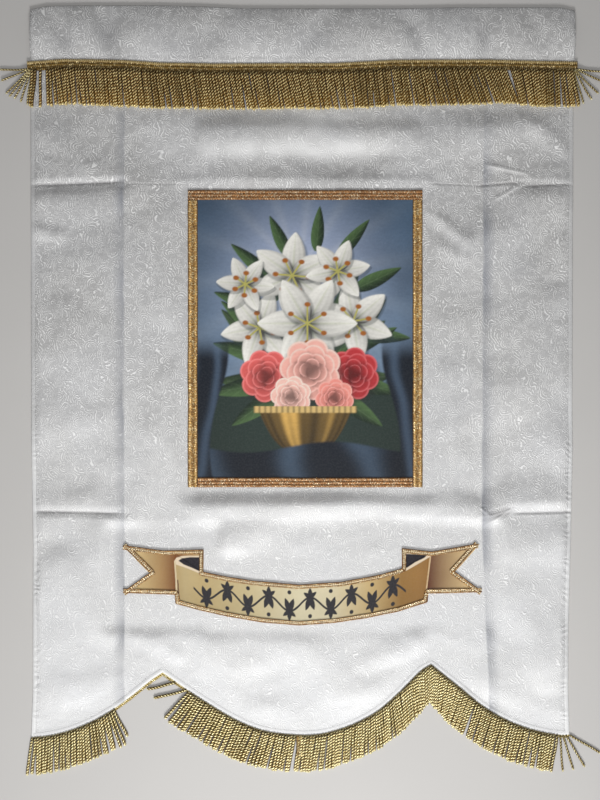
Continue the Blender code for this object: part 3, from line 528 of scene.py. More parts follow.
def hemDistance(x, y):
    # nearest distance to the hem line and the run along it there, over nearby stretches
    best = np.full(x.shape, 9.0)
    run = np.zeros(x.shape)
    for k in range(len(hemLine) - 1):
        (x0, y0), (x1, y1) = hemLine[k], hemLine[k + 1]
        share, away = lineDistance(x, y, x0, y0, x1, y1)
        nearer = away < best
        best = np.where(nearer, away, best)
        run = np.where(nearer, hemRun[k] + share * (hemRun[k + 1] - hemRun[k]), run)
    return best, run


def foldHeight(x, y):
    # the highest of the folds there, each fading away from its crest line, plus small wrinkles
    wx = x + 0.0018 * softNoise(x, y, 0.05, 21)
    wy = y + 0.0018 * softNoise(x, y, 0.05, 22)
    vary = 0.85 + 0.25 * softNoise(x, y, 0.11, 31)
    lift = np.zeros(x.shape)
    for x0, y0, x1, y1, half, height, crest in panel["folds"]:
        near = np.clip(1.0 - lineDistance(wx, wy, x0, y0, x1, y1)[1] / half, 0.0, 1.0)
        lift = np.maximum(lift, height * (near ** crest if crest else ease(near)) * vary)
    for x0, y0, x1, y1, above, below, height in panel["valleys"]:
        along, away = lineDistance(wx, y, x0, y0, x1, y1)
        past = np.maximum(np.maximum(wx - x1, x0 - wx), 0.0)
        upper = ease((y - y0 - (y1 - y0) * along) / (0.002 + 1.4 * past) + 0.5)
        half = below + (above - below) * upper
        lift = np.maximum(lift, height * (ease(away / half) * ease(1 - (away - half) / 0.060)))
    for size, height, stretch, slant, seed in panel["wrinkles"]:
        along, aside = turned(x, y, slant)
        lift = lift + height * np.maximum(softNoise(along / stretch, aside, size, seed) + 0.25, 0.0) ** 1.3 / 1.3
    lift = panel["tallest"] * np.tanh(lift / panel["tallest"])
    lift = lift * ease((0.520 - y) / 0.045) * ease((y - hemHeight(x) - 0.004) / 0.050)
    for left, right, bottom, top in panel["flats"]:
        beside = np.maximum(np.maximum(left - x, x - right), 0.0)
        beyond = np.maximum(np.maximum(bottom - y, y - top), 0.0)
        lift = lift * ease(np.hypot(beside, beyond) / panel["flatFade"])
    return lift


def cellShares(cells, power, place):
    # which stretch each grid line is in and its share of it, closer together at one end
    stretch, share = [], []
    for k, count in enumerate(cells):
        t = np.arange(count) / count
        if k == 0 and "start" in place:
            t = t ** power
        if k == len(cells) - 1 and "end" in place:
            t = 1 - (1 - t) ** power
        stretch += [k] * count
        share += list(t)
    return np.array(stretch + [len(cells) - 1]), np.array(share + [1.0])


def panelGrid():
    # grid lines follow the sides, the creases and the hem's peaks; places settle in a few passes
    colStretch, colShare = cellShares(panel["columnCells"], panel["crowding"], "start end")
    rowStretch, rowShare = cellShares(panel["rowCells"], panel["crowding"], "end")
    rows, cols = len(rowShare), len(colShare)
    y = np.repeat(np.linspace(panel["seamY"], -0.6, rows)[:, None], cols, axis=1)
    s, full = panel["shoulder"], np.ones_like(y)
    for _ in range(5):
        lc, rc = lookUp(panel["upright"], y, 1), lookUp(panel["upright"], y, 2)
        marks = np.stack([lookUp(panel["sides"], y, 1), lc - s, lc, lc + s, *(full * peak for peak in hemPeaks),
                          rc - s, rc, rc + s, lookUp(panel["sides"], y, 2)])
        j = np.arange(cols)
        x = marks[colStretch, :, j].T * (1 - colShare) + marks[colStretch + 1, :, j].T * colShare
        upper, lower = lookUp(panel["cross"], x, 1), lookUp(panel["cross"], x, 2)
        marks = np.stack([full * panel["seamY"], upper + s, upper, upper - s, lower + s, lower, lower - s,
                          hemHeight(x)])
        i, share = np.arange(rows), rowShare[:, None]
        y = marks[rowStretch, i, :] * (1 - share) + marks[rowStretch + 1, i, :] * share
    return x, y


def makePanel():
    # the satin: a flat grid raised by its folds, with a low roll along the hem, then given its thickness
    x, y = panelGrid()
    fromHem, run = hemDistance(x, y)
    fromSide = np.minimum(x - lookUp(panel["sides"], y, 1), lookUp(panel["sides"], y, 2) - x)
    inset = np.minimum(fromHem, fromSide)
    onHem = fromHem <= inset + 1e-9
    # the pressed upright creases: a band of painted shade on the outer side, sharp at the crease
    wave = 0.002 + 0.0012 * softNoise(x, y, 0.03, 41)
    crease = panel["creaseShadeShare"] * (0.65 + 0.5 * softNoise(x, y, 0.05, 42)) * ease((0.53 - y) / 0.03) * sum(
        ease(past / 0.0022) * np.clip(1 - past / panel["creaseShadeWidth"], 0, 1)
        for past in (lookUp(panel["upright"], y, 1) + wave - x, x - lookUp(panel["upright"], y, 2) + wave))
    # the turned hem: a low roll that dips to its stitches
    roll = 0.0010 * ease(inset / 0.003) * (1 - ease((inset - 0.004) / 0.004)) * ease((0.585 - y) / 0.01)
    z = foldHeight(x, y) * ease((inset - 0.002) / 0.02 + 0.25) + roll
    light = np.zeros(x.shape)
    for cx, cy, wide, tall, share, turn in panel["lights"]:
        along, across = turned(x - cx, y - cy, turn)
        light = light + share * np.exp(-(along / wide) ** 2 - (across / tall) ** 2)
    light = light * (0.8 + 0.35 * softNoise(x, y, 0.025, 43))
    piece = addPiece("panel", np.stack((x, y, z), -1), gridQuads(*x.shape), satin, "cloth", solid=False,
                     values={"inset": inset, "run": np.where(onHem, run, y), "crease": np.clip(crease, 0, 1),
                             "side": np.where(onHem, 0.12, ease((0.1 - y) / 0.3) * 0.9 + 0.1),
                             "gleam": np.maximum(light, 0), "shade": np.maximum(-light, 0)})
    if piece.data.polygons[0].normal.z < 0:
        piece.data.flip_normals()
    wall = piece.modifiers.new("thickness", "SOLIDIFY")
    wall.thickness, wall.offset = panel["thickness"], 1.0
    return piece


panelPiece = makePanel()
print("panel ready")


sleeve = {
    "left": -0.5005, "right": 0.4991, "wall": 0.0011, "lip": 0.0020, "lipShare": 0.14, "fold": 0.0034,
    "round": 0.0012, "cavity": (0.18, 0.97), "stations": 190, "backPoints": 10, "frontPoints": 26,
    "shape": metres([(-5005, 6970, 96), (-4700, 7030, 112), (-4000, 7043, 120), (-3450, 7043, 100),
        (-2739, 7043, 122), (-1893, 7025, 108), (-1085, 6988, 126), (0, 6988, 106), (900, 6988, 124),
        (2000, 6988, 106), (2776, 7006, 122), (3330, 7006, 99), (4000, 7006, 122), (4724, 7006, 114),
        (4991, 6950, 98)]),
    # troughs pressed into its front: x at the top, x at the bottom, half width, depth
    "troughs": metres([(-3700, -3350, 300, 60), (-1500, -1900, 440, 50), (450, -100, 360, 52),
        (1900, 2350, 320, 46), (3330, 3220, 140, 56), (4100, 4550, 300, 34), (-4650, -4150, 280, 44),
        (-2620, -2350, 220, 26), (1100, 850, 240, 26)]),
    # painted shade where the sleeve looks darker: centre, reach across and up, share
    "shades": metres([(-4393, 6354, 220, 240, 0.3), (-3548, 6500, 300, 320, 0.42), (-2077, 6317, 600, 200, 0.34),
        (349, 6340, 640, 200, 0.3), (1985, 6427, 180, 320, 0.26), (3327, 6464, 110, 400, 0.38),
        (4350, 6300, 400, 160, 0.22)], 1),
}


def makeSleeve():
    # outer and inner outline of a flattened tube, carried along its length
    d = sleeve
    x = np.linspace(d["left"], d["right"], d["stations"])[:, None]
    top, crown = lookUp(d["shape"], x, 1), lookUp(d["shape"], x, 2)
    bottom = panel["seamY"] + 0.0003
    depth, lip, wall, fold, count = top - bottom, d["lipShare"], d["wall"], d["fold"], d["frontPoints"]

    def front(share):
        # height of the front face: a lip, then an arch with troughs pressed into it
        rise = np.clip((share - lip) / (1 - lip), 0.0, 1.0)
        base = d["lip"] + (fold - d["lip"]) * rise
        arch = np.maximum(np.sin(np.pi * rise), 0.0) ** 0.85
        full = base + (crown - base) * arch
        for xTop, xBottom, half, deep in d["troughs"]:
            full = full - deep * arch * ease(1 - np.abs(x - (xBottom + (xTop - xBottom) * share)) / half)
        relief = 0.0010 * softNoise(x, share * 0.1, 0.045, 5) + 0.0006 * softNoise(x, share * 0.1, 0.018, 6)
        return np.maximum(full + relief * arch, base)

    def outline(across, up):
        # one closed outline to a station, from its stretches
        across, up = (np.concatenate([stretch * np.ones_like(x) for stretch in side], 1) for side in (across, up))
        return np.stack((x * np.ones(across.shape), across, up), -1)

    first, last = d["cavity"]
    back, fore = np.linspace(0.0, 1.0, d["backPoints"])[None, :], np.linspace(1.0, 0.0, count)[None, :]
    inBack, inFore = first + (last - first) * back, first + (last - first) * fore
    fore = np.clip(np.where(fore > 0, lip + (1 - lip) * (fore * count - 1) / (count - 1), 0.0), 0.0, 1.0)
    outer = outline((bottom + depth * back, top + d["round"] * np.array([[0.7, 1.0, 0.7]]), bottom + depth * fore),
                    (0 * back, fold * np.array([[0.16, 0.5, 0.84]]), front(fore)))
    low = wall + 0.0003
    inner = outline((bottom + depth * inBack, bottom + depth * last + d["round"] * 0.4, bottom + depth * inFore),
                    (wall + 0 * back, fold / 2, np.maximum(front(inFore) - wall, low)))
    inner[:, -1, 2] = low
    rows, a, b = *outer.shape[:2], inner.shape[1]
    quads = np.concatenate((gridQuads(rows, a, True), gridQuads(rows, b, True)[:, ::-1] + rows * a))
    # the open ends: the two outlines are joined by strips that keep step along them
    step = [*range(d["backPoints"]), *[d["backPoints"]] * 3, *range(d["backPoints"] + 1, b)]
    ends = []
    for row in (0, rows - 1):
        for k in range(a):
            m = (k + 1) % a
            face = [row * a + k, row * a + m, rows * a + row * b + step[m], rows * a + row * b + step[k]]
            face = face[:3] if step[m] == step[k] else face
            ends.append(face if row else face[::-1])
    points = np.concatenate((outer.reshape(-1, 3), inner.reshape(-1, 3)))
    shade = np.zeros(len(points))
    for cx, cy, wide, tall, share in d["shades"]:
        away = ((points[:, 0] - cx) / wide) ** 2 + ((points[:, 1] - cy) / tall) ** 2
        patch = 0.85 + 0.3 * softNoise(points[:, 0], points[:, 1], 0.02, 9)
        shade = np.maximum(shade, share * np.exp(-away) * patch)
    return addPiece("rodSleeve", points, quads, satinSleeve, "rod_pocket", ends, values={"shade": shade})


sleevePiece = makeSleeve()
print("rod sleeve ready")


def evenLine(points, step):
    # the line at even steps, with its length so far
    points = np.asarray(points, float)
    run = runSoFar(points)
    count = max(2, int(round(run[-1] / step)) + 1)
    places = np.linspace(0.0, run[-1], count)
    return np.stack([np.interp(places, run, points[:, k]) for k in (0, 1)], -1), places


def sideways(line):
    # unit vectors to the right of the line's way, mitred so that offsets keep their width
    way = np.diff(line, axis=0)
    way /= np.linalg.norm(way, axis=1)[:, None]
    before, after = np.vstack((way[:1], way)), np.vstack((way, way[-1:]))
    right = np.stack((before[:, 1] + after[:, 1], -(before[:, 0] + after[:, 0])), -1) / 2
    return right / np.maximum((right ** 2).sum(1), 0.3)[:, None]


def ribbedBraid(name, points, material, slot, node, seed, step, width, level, thick, ribs, bead, edge, offset=0.0):
    # flat braid: a crowned strip with ribs along it, beads across them and looped edges
    line, run = evenLine(points, step)
    share = np.linspace(0.0, 1.0, ribs * 4 + 1)[None, :]
    s = run[:, None]
    wander = softNoise(s, seed, 0.012, seed)
    rib = np.abs(np.sin(np.pi * share * ribs)) ** 0.6
    beads = np.abs(np.sin(np.pi * (s / bead + np.floor(share * ribs - 1e-6) * 0.5)))
    top = level + thick * (0.45 + 0.35 * rib + 0.20 * beads * rib) * (0.92 + 0.08 * wander)
    bulge = edge * (np.abs(np.sin(np.pi * s / bead)) - 0.3) + 0.0002 * wander
    across = np.concatenate((share * width + (share - 0.5) * 2 * bulge, width + bulge, -bulge), 1) + offset
    up = np.concatenate((top, level + 0 * s, level + 0 * s), 1)
    # the closed profile, across and up, is set square to each point of the line
    rows, columns = across.shape
    points = np.concatenate((line[:, None, :] + sideways(line)[:, None, :] * across[..., None], up[..., None]), -1)
    caps = [list(range(columns))[::-1], [(rows - 1) * columns + k for k in range(columns)]]
    corners = gridCorners(rows, columns, run)
    corners[..., 0] = np.append(share, (1.0, 0.0))[corners[..., 0].astype(int) % columns]
    return addPiece(name, points, gridQuads(rows, columns, True), material, node, caps, corners)


def cordBundle(name, roots, degrees, lengths, rootLevel, tipLevel, widths, seed, material, node, flatten, drop,
               stack, bow=0.0, bend=0.03):
    # many cords: a flattened tube along a slightly bent line, its tip rounded off
    rng = np.random.default_rng(seed)
    n, rings, sides = len(roots), 10, 6
    t = np.array([0.0, 0.12, 0.25, 0.4, 0.55, 0.7, 0.84, 0.94, 0.975, 1.0])[None, :, None]
    swell = np.array([0.9, 1.0, 1.0, 1.0, 1.0, 1.0, 1.02, 1.04, 0.98, 0.55])[None, :, None]
    ways = np.stack((np.sin(np.radians(degrees)), -np.cos(np.radians(degrees))), -1)[:, None, :]
    across = np.stack((-ways[..., 1], ways[..., 0]), -1)
    bow, lengths, widths, rootLevel, tipLevel = (np.asarray(value).reshape(-1, 1, 1)
                                                 for value in (bow, lengths, widths, rootLevel, tipLevel))
    bow = (rng.uniform(-1, 1, (n, 1, 1)) * bend + bow) * lengths
    sway = rng.uniform(-1, 1, (n, 1, 1)) * 0.0007
    flat = roots[:, None, :] + ways * lengths * t + across * (bow * t * t + sway * np.sin(t * 6.0))
    radius, settle = widths / 2 * swell, ease(t / drop)
    lift = rng.uniform(0, 1, (n, 1, 1)) * stack * ease(t / 0.3)
    middle = rootLevel * (1 - settle) + tipLevel * settle + lift + widths / 2 * flatten
    turn = (np.arange(sides) / sides * 2 * np.pi)[None, None, :]
    points = np.empty((n, rings, sides, 3))
    points[..., :2] = flat[:, :, None, :] + across[:, :, None, :] * (np.cos(turn) * radius)[..., None]
    points[..., 2] = np.maximum(middle + np.sin(turn) * (radius * flatten), 0.00005)
    count = rings * sides
    starts = np.arange(n) * count
    quads = (gridQuads(rings, sides, True)[None] + starts[:, None, None]).reshape(-1, 4)
    caps = [[s + k for k in range(sides)][::-1] for s in starts] + \
           [[s + count - sides + k for k in range(sides)] for s in starts]
    corners = np.repeat(gridCorners(rings, sides, t.ravel())[None], n, axis=0)
    corners *= np.stack((np.full(lengths.shape, 1.0 / sides), lengths), -1)
    tones = 0.55 * rng.uniform(0, 1, n) + 0.45 * (0.5 + 0.5 * softNoise(roots[:, 0], 0.0, 0.035, seed))
    return addPiece(name, points, quads, material, node, caps, corners.reshape(-1, 4, 2),
                    {"tone": np.repeat(tones, count), "end": np.broadcast_to(t, (n, rings, sides))})


def cordDraws(d, rng, x):
    # lean, length and share of the width of each cord: table, random part and slow drift along the row
    leanBy, leanDrift, shorter, longer, driftSize, seed = d["spread"]
    lean = lookUp(d["lean"], x, 1) + rng.uniform(-leanBy, leanBy, len(x)) + leanDrift * softNoise(x, 0, 0.03, seed)
    length = d["length"] + rng.uniform(-shorter, longer, len(x)) + 0.0012 * softNoise(x, 0, driftSize, seed + 1)
    return lean, length, rng.uniform(0.9, 1.08, len(x))


topFringe = {
    "tape": dict(step=0.0009, width=0.0180, level=0.0023, thick=0.0021, ribs=3, bead=0.0037, edge=0.0007),
    "left": -0.5070, "right": 0.5040, "pitch": 0.0053, "jitter": 0.0005,
    # random lean, its slow drift, shorter and longer by, size of the slow drift in length, seed
    "spread": (0.8, 1.7, 0.0018, 0.0014, 0.05, 12),
    "edge": metres([(-5070, 6023), (-4393, 6069), (-3290, 6051), (-2629, 6005), (-1636, 5986), (570, 5995),
        (1121, 6023), (1673, 6054), (3327, 6060), (4430, 6032), (5040, 6023)]),
    "lean": metres([(-4900, -4), (-4600, 6), (-3000, 7), (-1500, 10), (0, 12), (1000, 7), (2000, 10), (3000, 18),
        (3400, 22), (3800, 16), (4200, 6), (4700, 4), (4900, 10)], 1),
    "bare": metres([(-4895, -4850), (-4775, -4740), (-4590, -4560), (3740, 3790)]),
    "length": 0.0678, "cordWidth": 0.0061, "cordLevel": 0.0020, "cords": (-0.4970, 0.4940),
    # loose cords past the sides: place on the tape, lean, length
    "looseLeft": [(-0.5060, -86, 0.0487), (-0.5045, -65, 0.0520), (-0.5030, -40, 0.0600), (-0.5018, -33, 0.0610),
                  (-0.5006, -26, 0.0600), (-0.4996, -17, 0.0615), (-0.4986, -7, 0.0640)],
    "looseRight": [(0.4956, 10, 0.0640), (0.4966, 16, 0.0640), (0.4980, 27, 0.0625), (0.4994, 40, 0.0600),
                   (0.5012, 63, 0.0540), (0.5028, 82, 0.0510)],
    "looseWidth": 0.0034,
}


def makeTopFringe():
    # the tape over the seam, its row of cords, and the loose ones past the sides
    d = topFringe

    def rootsAt(x, above):
        # points on the tape, so far above its lower edge
        return np.stack((x, lookUp(d["edge"], x, 1) - d["tape"]["width"] + above), -1)

    x = np.linspace(d["left"], d["right"], 240)
    tape = ribbedBraid("fringeTape", rootsAt(x, d["tape"]["width"]), goldTape, "fringe", "fringe_top", 41,
                       **d["tape"])
    rng = np.random.default_rng(7)
    start, end = d["cords"]
    x = np.linspace(start, end, int(round((end - start) / d["pitch"])))
    x = x + rng.uniform(-d["jitter"], d["jitter"], len(x))
    for low, high in d["bare"]:
        x = x[(x < low) | (x > high)]
    lean, length, share = cordDraws(d, rng, x)
    # every second cord lies a little higher, over the gap between its neighbours
    level = d["cordLevel"] + 0.0007 * (np.arange(len(x)) % 2)
    body = cordBundle("topCords", rootsAt(x, 0.003), lean, length + 0.003, 0.0027, level, d["cordWidth"] * share,
                      17, goldCord, "fringe_top", flatten=0.62, drop=0.25, stack=0.0007)
    x, lean, length = np.array(d["looseLeft"] + d["looseRight"]).T
    bow = np.where(x < 0, -0.06, 0.06) * np.clip(np.abs(lean) / 45, 0.2, 1.0)
    ends = cordBundle("topEndCords", rootsAt(x, 0.004), lean, length + 0.002, 0.0024, 0.0,
                      np.full(len(x), d["looseWidth"]), 19, paleCord, "fringe_top", flatten=0.72, drop=0.30,
                      stack=0.0008, bow=bow)
    return tape, body, ends


topPieces = makeTopFringe()
print("top fringe ready")

hemFringe = {
    "heading": dict(step=0.0011, width=0.0050, level=0.0, thick=0.0018, ribs=2, bead=0.0042, edge=0.0008),
    "tab": dict(step=0.0011, width=0.0105, level=0.0031, thick=0.0014, ribs=3, bead=0.0036, edge=0.0004),
    "meeting": -0.0074, "gap": 0.0004, "pitch": 0.0053, "jitter": 0.0004,
    "spread": (1.0, 1.5, 0.0016, 0.0016, 0.04, 61),
    "length": 0.0635, "cordWidth": 0.0060, "endWidth": 0.0038, "lastRoot": 0.4893,
    "lean": metres([(-4990, -12), (-4900, -3), (-4500, -2), (-4000, 3), (-3700, 10), (-3500, 24), (-3360, 36),
        (-3350, 0), (-2400, -70), (-2120, -68), (-2060, -37), (-1900, -35), (-1500, -30), (-1000, -24),
        (-500, -16), (0, -8), (600, -4), (1000, -2), (1400, 3), (1800, 9), (2100, 5), (2353, 0), (2600, -11),
        (2900, -20), (3170, -25), (3176, -17), (3300, -20), (3700, -17), (4200, -12), (4600, -9), (4690, -6),
        (4740, 12), (4800, 24), (4860, 48), (4890, 62)], 1),
    "bare": (-0.3460, -0.2090),
    "stray": [(-0.2340, -72, 0.0540), (-0.2140, -73, 0.0620)],
}


def makeHemFringe():
    # two headings that follow the hem line, each with its row of cords, and two stray cords
    d, made = hemFringe, []
    for side, low, high in (("Left", hemLine[0][0], d["meeting"] - 0.0003),
                            ("Right", d["meeting"] + 0.0003, hemLine[-1][0])):
        node = "fringe_hem_" + side.lower()
        marks = [runAt(mark) for mark in (low, *(peak for peak in hemPeaks if low < peak < high), high)]
        places = np.unique(np.concatenate([np.linspace(a, b, int(round((b - a) / 0.0011)) + 1)
                                           for a, b in zip(marks, marks[1:])]))
        line = np.stack([np.interp(places, hemRun, hemLine[:, k]) for k in (0, 1)], -1)
        line = line + sideways(line) * d["gap"]
        heading = ribbedBraid("hemHeading" + side, line, laceTape, "fringe", node, 51, **d["heading"])
        rng = np.random.default_rng(23 if side == "Left" else 29)
        runs = np.arange(marks[0] + 0.002, marks[-1] - 0.0015, d["pitch"])
        runs = runs + rng.uniform(-d["jitter"], d["jitter"], len(runs))
        x = np.interp(runs, hemRun, hemLine[:, 0])
        keep = (x < d["bare"][0]) | (x > d["bare"][1])
        x, runs = x[keep], runs[keep]
        if side == "Right":
            x, runs = np.append(x, d["lastRoot"]), np.append(runs, runAt(d["lastRoot"]))
        lean, length, share = cordDraws(d, rng, x)
        length = length - 0.012 * ((x < -0.345) & (x > -0.353))
        slope = np.interp(runs, (hemRun[1:] + hemRun[:-1]) / 2, np.arctan2(*np.diff(hemLine, axis=0).T[::-1]))
        root = np.stack((x, hemHeight(x)), -1) + np.stack((np.sin(slope), -np.cos(slope)), -1) * 0.0014
        width = np.where(x > 0.4700, d["endWidth"], d["cordWidth"]) * share
        cords = cordBundle("hemCords" + side, root, lean, length + 0.0035, 0.0011, 0.0007 * (np.arange(len(x)) % 2),
                           width, 31, paleCord, node, flatten=0.62, drop=0.3, stack=0.0007)
        made += [heading, cords]
    x, lean, length = np.array(d["stray"]).T
    loose = cordBundle("hemStrayCords", np.stack((x, hemHeight(x) - 0.002), -1), lean, length, 0.0002, 0.0,
                       np.full(len(x), 0.0050), 37, paleCord, "fringe_hem_left", flatten=0.7, drop=0.3, stack=0.0,
                       bow=(-0.10, -0.06), bend=0.02)
    return made + [loose]


hemPieces = makeHemFringe()
tabLine = np.array([(hemFringe["meeting"], -0.6350), (hemFringe["meeting"] + 0.0008, -0.6735)])
tabPiece = ribbedBraid("fringeTab", tabLine, goldTape, "braid", "fringe_tab", 71, offset=-0.00525,
                       **hemFringe["tab"])
print("hem fringe ready")


picture = {
    "left": -0.2112, "right": 0.2192, "top": 0.3661, "bottom": -0.1790, "inset": 0.0015,
    "level": 0.0019, "thick": 0.0010, "cell": 0.0016,
    "braid": dict(step=0.0011, width=0.0176, level=0.0032, thick=0.0021, bead=0.0030, edge=0.0006),
    # leaves, behind the flowers and past them: foot, way in degrees, length, half width
    "backLeaves": [(0, -0.35, 150, 0.85, 0.11), (0, -0.35, 35, 0.9, 0.12), (0, -0.3, 95, 1.15, 0.10),
                   (-0.1, -0.3, 120, 1.0, 0.10), (0.1, -0.3, 68, 1.05, 0.11), (0, -0.45, 175, 0.8, 0.12),
                   (0, -0.45, 8, 0.8, 0.12), (-0.1, -0.4, 135, 0.95, 0.10), (0.1, -0.4, 50, 1.0, 0.10)],
    "leaves": [(-0.25, -0.20, 165, 0.62, 0.085), (-0.30, -0.05, 140, 0.62, 0.075), (-0.35, 0.25, 160, 0.52, 0.070),
               (-0.30, 0.55, 140, 0.50, 0.065), (-0.15, 0.75, 115, 0.42, 0.060), (0.10, 0.80, 85, 0.42, 0.060),
               (0.30, 0.75, 50, 0.45, 0.060), (0.45, 0.45, 25, 0.48, 0.070), (0.45, 0.05, -5, 0.52, 0.075),
               (0.30, -0.15, 25, 0.60, 0.080), (0.30, -0.35, -15, 0.60, 0.085), (-0.30, -0.40, 190, 0.58, 0.085),
               (-0.25, -0.50, 215, 0.52, 0.080), (0.30, -0.52, -35, 0.50, 0.080), (-0.10, 0.35, 100, 0.5, 0.08),
               (0.22, 0.36, 75, 0.5, 0.08), (-0.25, 0.35, 130, 0.4, 0.07)],
    # lilies: centre, reach, turn in degrees; roses: centre, reach, colour
    "lilies": [(-0.42, 0.10, 0.36, 10), (0.44, 0.16, 0.38, 40), (-0.12, 0.58, 0.40, 25), (0.30, 0.62, 0.30, 70),
               (-0.55, 0.50, 0.27, 55), (0.02, 0.14, 0.46, 0)],
    "roses": [(-0.36, -0.34, 0.23, (0.66, 0.11, 0.10)), (0.44, -0.32, 0.23, (0.46, 0.03, 0.035)),
              (0.05, -0.28, 0.27, (0.86, 0.42, 0.35)), (-0.13, -0.53, 0.18, (0.88, 0.50, 0.42)),
              (0.27, -0.54, 0.17, (0.78, 0.27, 0.22))],
}


def petalMask(u, v, x, y, turn, length, width, tip=0.75):
    # share along the petal, place across it, and a soft edged mask of its outline
    along, aside = turned(u - x, v - y, turn)
    along, aside = along / length, aside / width
    inside = np.clip(along, 0.0, 1.0)
    outline = np.sin(np.pi * inside ** tip) ** 0.75
    edge = outline - np.abs(aside)
    mask = ease(edge / 0.16 + 0.5) * ease((along + 0.03) / 0.05) * ease((1.02 - along) / 0.04)
    return inside, aside / np.maximum(outline, 0.05), mask


def paintPicture(x, y):
    # a still life: lilies and roses in a gold bowl on dark cloth, before a glowing evening sky
    u, v = ((place - (picture[low] + picture[high]) / 2) / 0.2
            for place, low, high in ((x, "left", "right"), (y, "bottom", "top")))
    up = ease((v + 0.6) / 2.0)
    cloud = 0.5 + 0.5 * softNoise(u, v * 1.6, 0.5, 1) * 0.7 + 0.25 * softNoise(u, v * 1.6, 0.22, 2)
    art = Canvas((tinted(up, (0.060, 0.115, 0.190)) + tinted(1 - up, (0.17, 0.25, 0.36)))
                 * (0.75 + 0.5 * cloud[..., None]))
    glowX, glowY = u + 0.05, v - 0.62
    art.lay(np.exp(-(glowX ** 2 + glowY ** 2) / 0.42) * 0.85, (0.48, 0.55, 0.74))
    rays = np.clip(np.sin(np.arctan2(glowY, glowX) * 14) * 0.5 + 0.5, 0, 1) ** 3
    art.lay(rays * np.exp(-np.hypot(glowX, glowY) / 0.55) * 0.22, (0.85, 0.85, 0.80))
    # far hills and trees
    ridge = -0.30 + 0.10 * softNoise(u, 0, 0.6, 4) + 0.04 * softNoise(u, 0, 0.15, 5)
    art.lay(ease((ridge - v) / 0.04) * 0.9, (0.06, 0.10, 0.12))
    ridge = -0.42 + 0.09 * softNoise(u, 0, 0.35, 6) + 0.05 * softNoise(u, v, 0.07, 7)
    art.lay(ease((ridge - v) / 0.04), (0.022, 0.040, 0.032))
    for px, py, turn, length, width in picture["backLeaves"]:
        _, aside, mask = petalMask(u, v, px, py, turn, length, width)
        shade = tinted(0.5 + 0.5 * aside, (0.05, 0.085, 0.03)) + np.array([0.015, 0.03, 0.014])
        art.lay(mask, shade + 0.03 * (np.abs(aside) < 0.08)[..., None])
    for px, py, turn, length, width in picture["leaves"]:
        along, aside, mask = petalMask(u, v, px, py, turn, length, width, 0.7)
        shade = tinted(ease(0.5 + 0.5 * aside), (0.075, 0.135, 0.045)) + np.array([0.010, 0.024, 0.012])
        vein = np.exp(-(aside / 0.07) ** 2) + 0.5 * np.clip(np.sin(along * 30 - np.abs(aside) * 6), 0, 1) ** 6
        art.lay(mask, shade + tinted(0.05 * vein, (0.7, 1.0, 0.5)))
    # lilies: six petals each, outer ones first, every petal with the shade it casts
    for cx, cy, size, spin in picture["lilies"]:
        for k in range(6):
            turn = spin + k * 120 + (60 if k < 3 else 0)
            shade = petalMask(u, v, cx + 0.012, cy - 0.022, turn, size * 1.03, size * 0.30, 0.8)[2]
            art.lay(shade * 0.45, (0.03, 0.045, 0.05))
            along, aside, mask = petalMask(u, v, cx, cy, turn, size, size * 0.27, 0.8)
            light = 0.62 + 0.42 * along + 0.22 * aside * math.cos(math.radians(turn - 60))
            light = light - 0.42 * np.exp(-((along - 0.08) / 0.17) ** 2) - 0.16 * ease((np.abs(aside) - 0.7) / 0.3)
            light = light + 0.07 * np.sin(aside * 16) * (1 - along)
            ink = tinted(np.clip(light, 0.08, 1.08), (0.93, 0.91, 0.84))
            art.lay(mask, np.clip(ink - tinted(0.16 * np.exp(-(aside / 0.09) ** 2), (0.55, 0.40, 0.75)), 0, 1))
        for k in range(6):
            turn = math.radians(spin + 30 + k * 60)
            tipX, tipY = cx + math.cos(turn) * size * 0.38, cy + math.sin(turn) * size * 0.38
            away = lineDistance(u, v, cx, cy, tipX, tipY)[1]
            art.lay(ease((0.012 - away) / 0.008), (0.50, 0.46, 0.12))
            art.lay(ease((0.028 - np.hypot((u - tipX) * 0.8, v - tipY)) / 0.012), (0.40, 0.13, 0.02))
    # roses: rings of round petals, dark towards the heart and light along their rims
    for cx, cy, size, colour in picture["roses"]:
        ink = np.array(colour)
        art.lay(ease((size * 1.15 - np.hypot(u - cx - 0.015, v - cy + 0.03)) / 0.06) * 0.55, (0.02, 0.025, 0.02))
        for ring, count, petal in ((0.62, 7, 0.46), (0.44, 6, 0.42), (0.27, 5, 0.34), (0.13, 3, 0.26)):
            for k in range(count):
                turn = math.tau * (k + 0.5 * (ring * 7 % 1)) / count + cx * 5
                px, py = cx + math.cos(turn) * ring * size, cy + math.sin(turn) * ring * size
                r = np.hypot(u - px, v - py) / (petal * size)
                out = ((u - cx) * math.cos(turn) + (v - cy) * math.sin(turn)) / size
                light = 0.30 + 0.85 * ease((out - ring * 0.55 + 0.05) / 0.6) + 0.20 * (v - cy) / size
                rim = np.exp(-((r - 0.90) / 0.10) ** 2) * ease((out - ring) / 0.15)
                tint = tinted(np.clip(light, 0.08, 1.2), ink) + tinted(rim, 0.30 * ink + 0.10)
                art.lay(ease((1.0 - r) / 0.10), np.clip(tint, 0, 1))
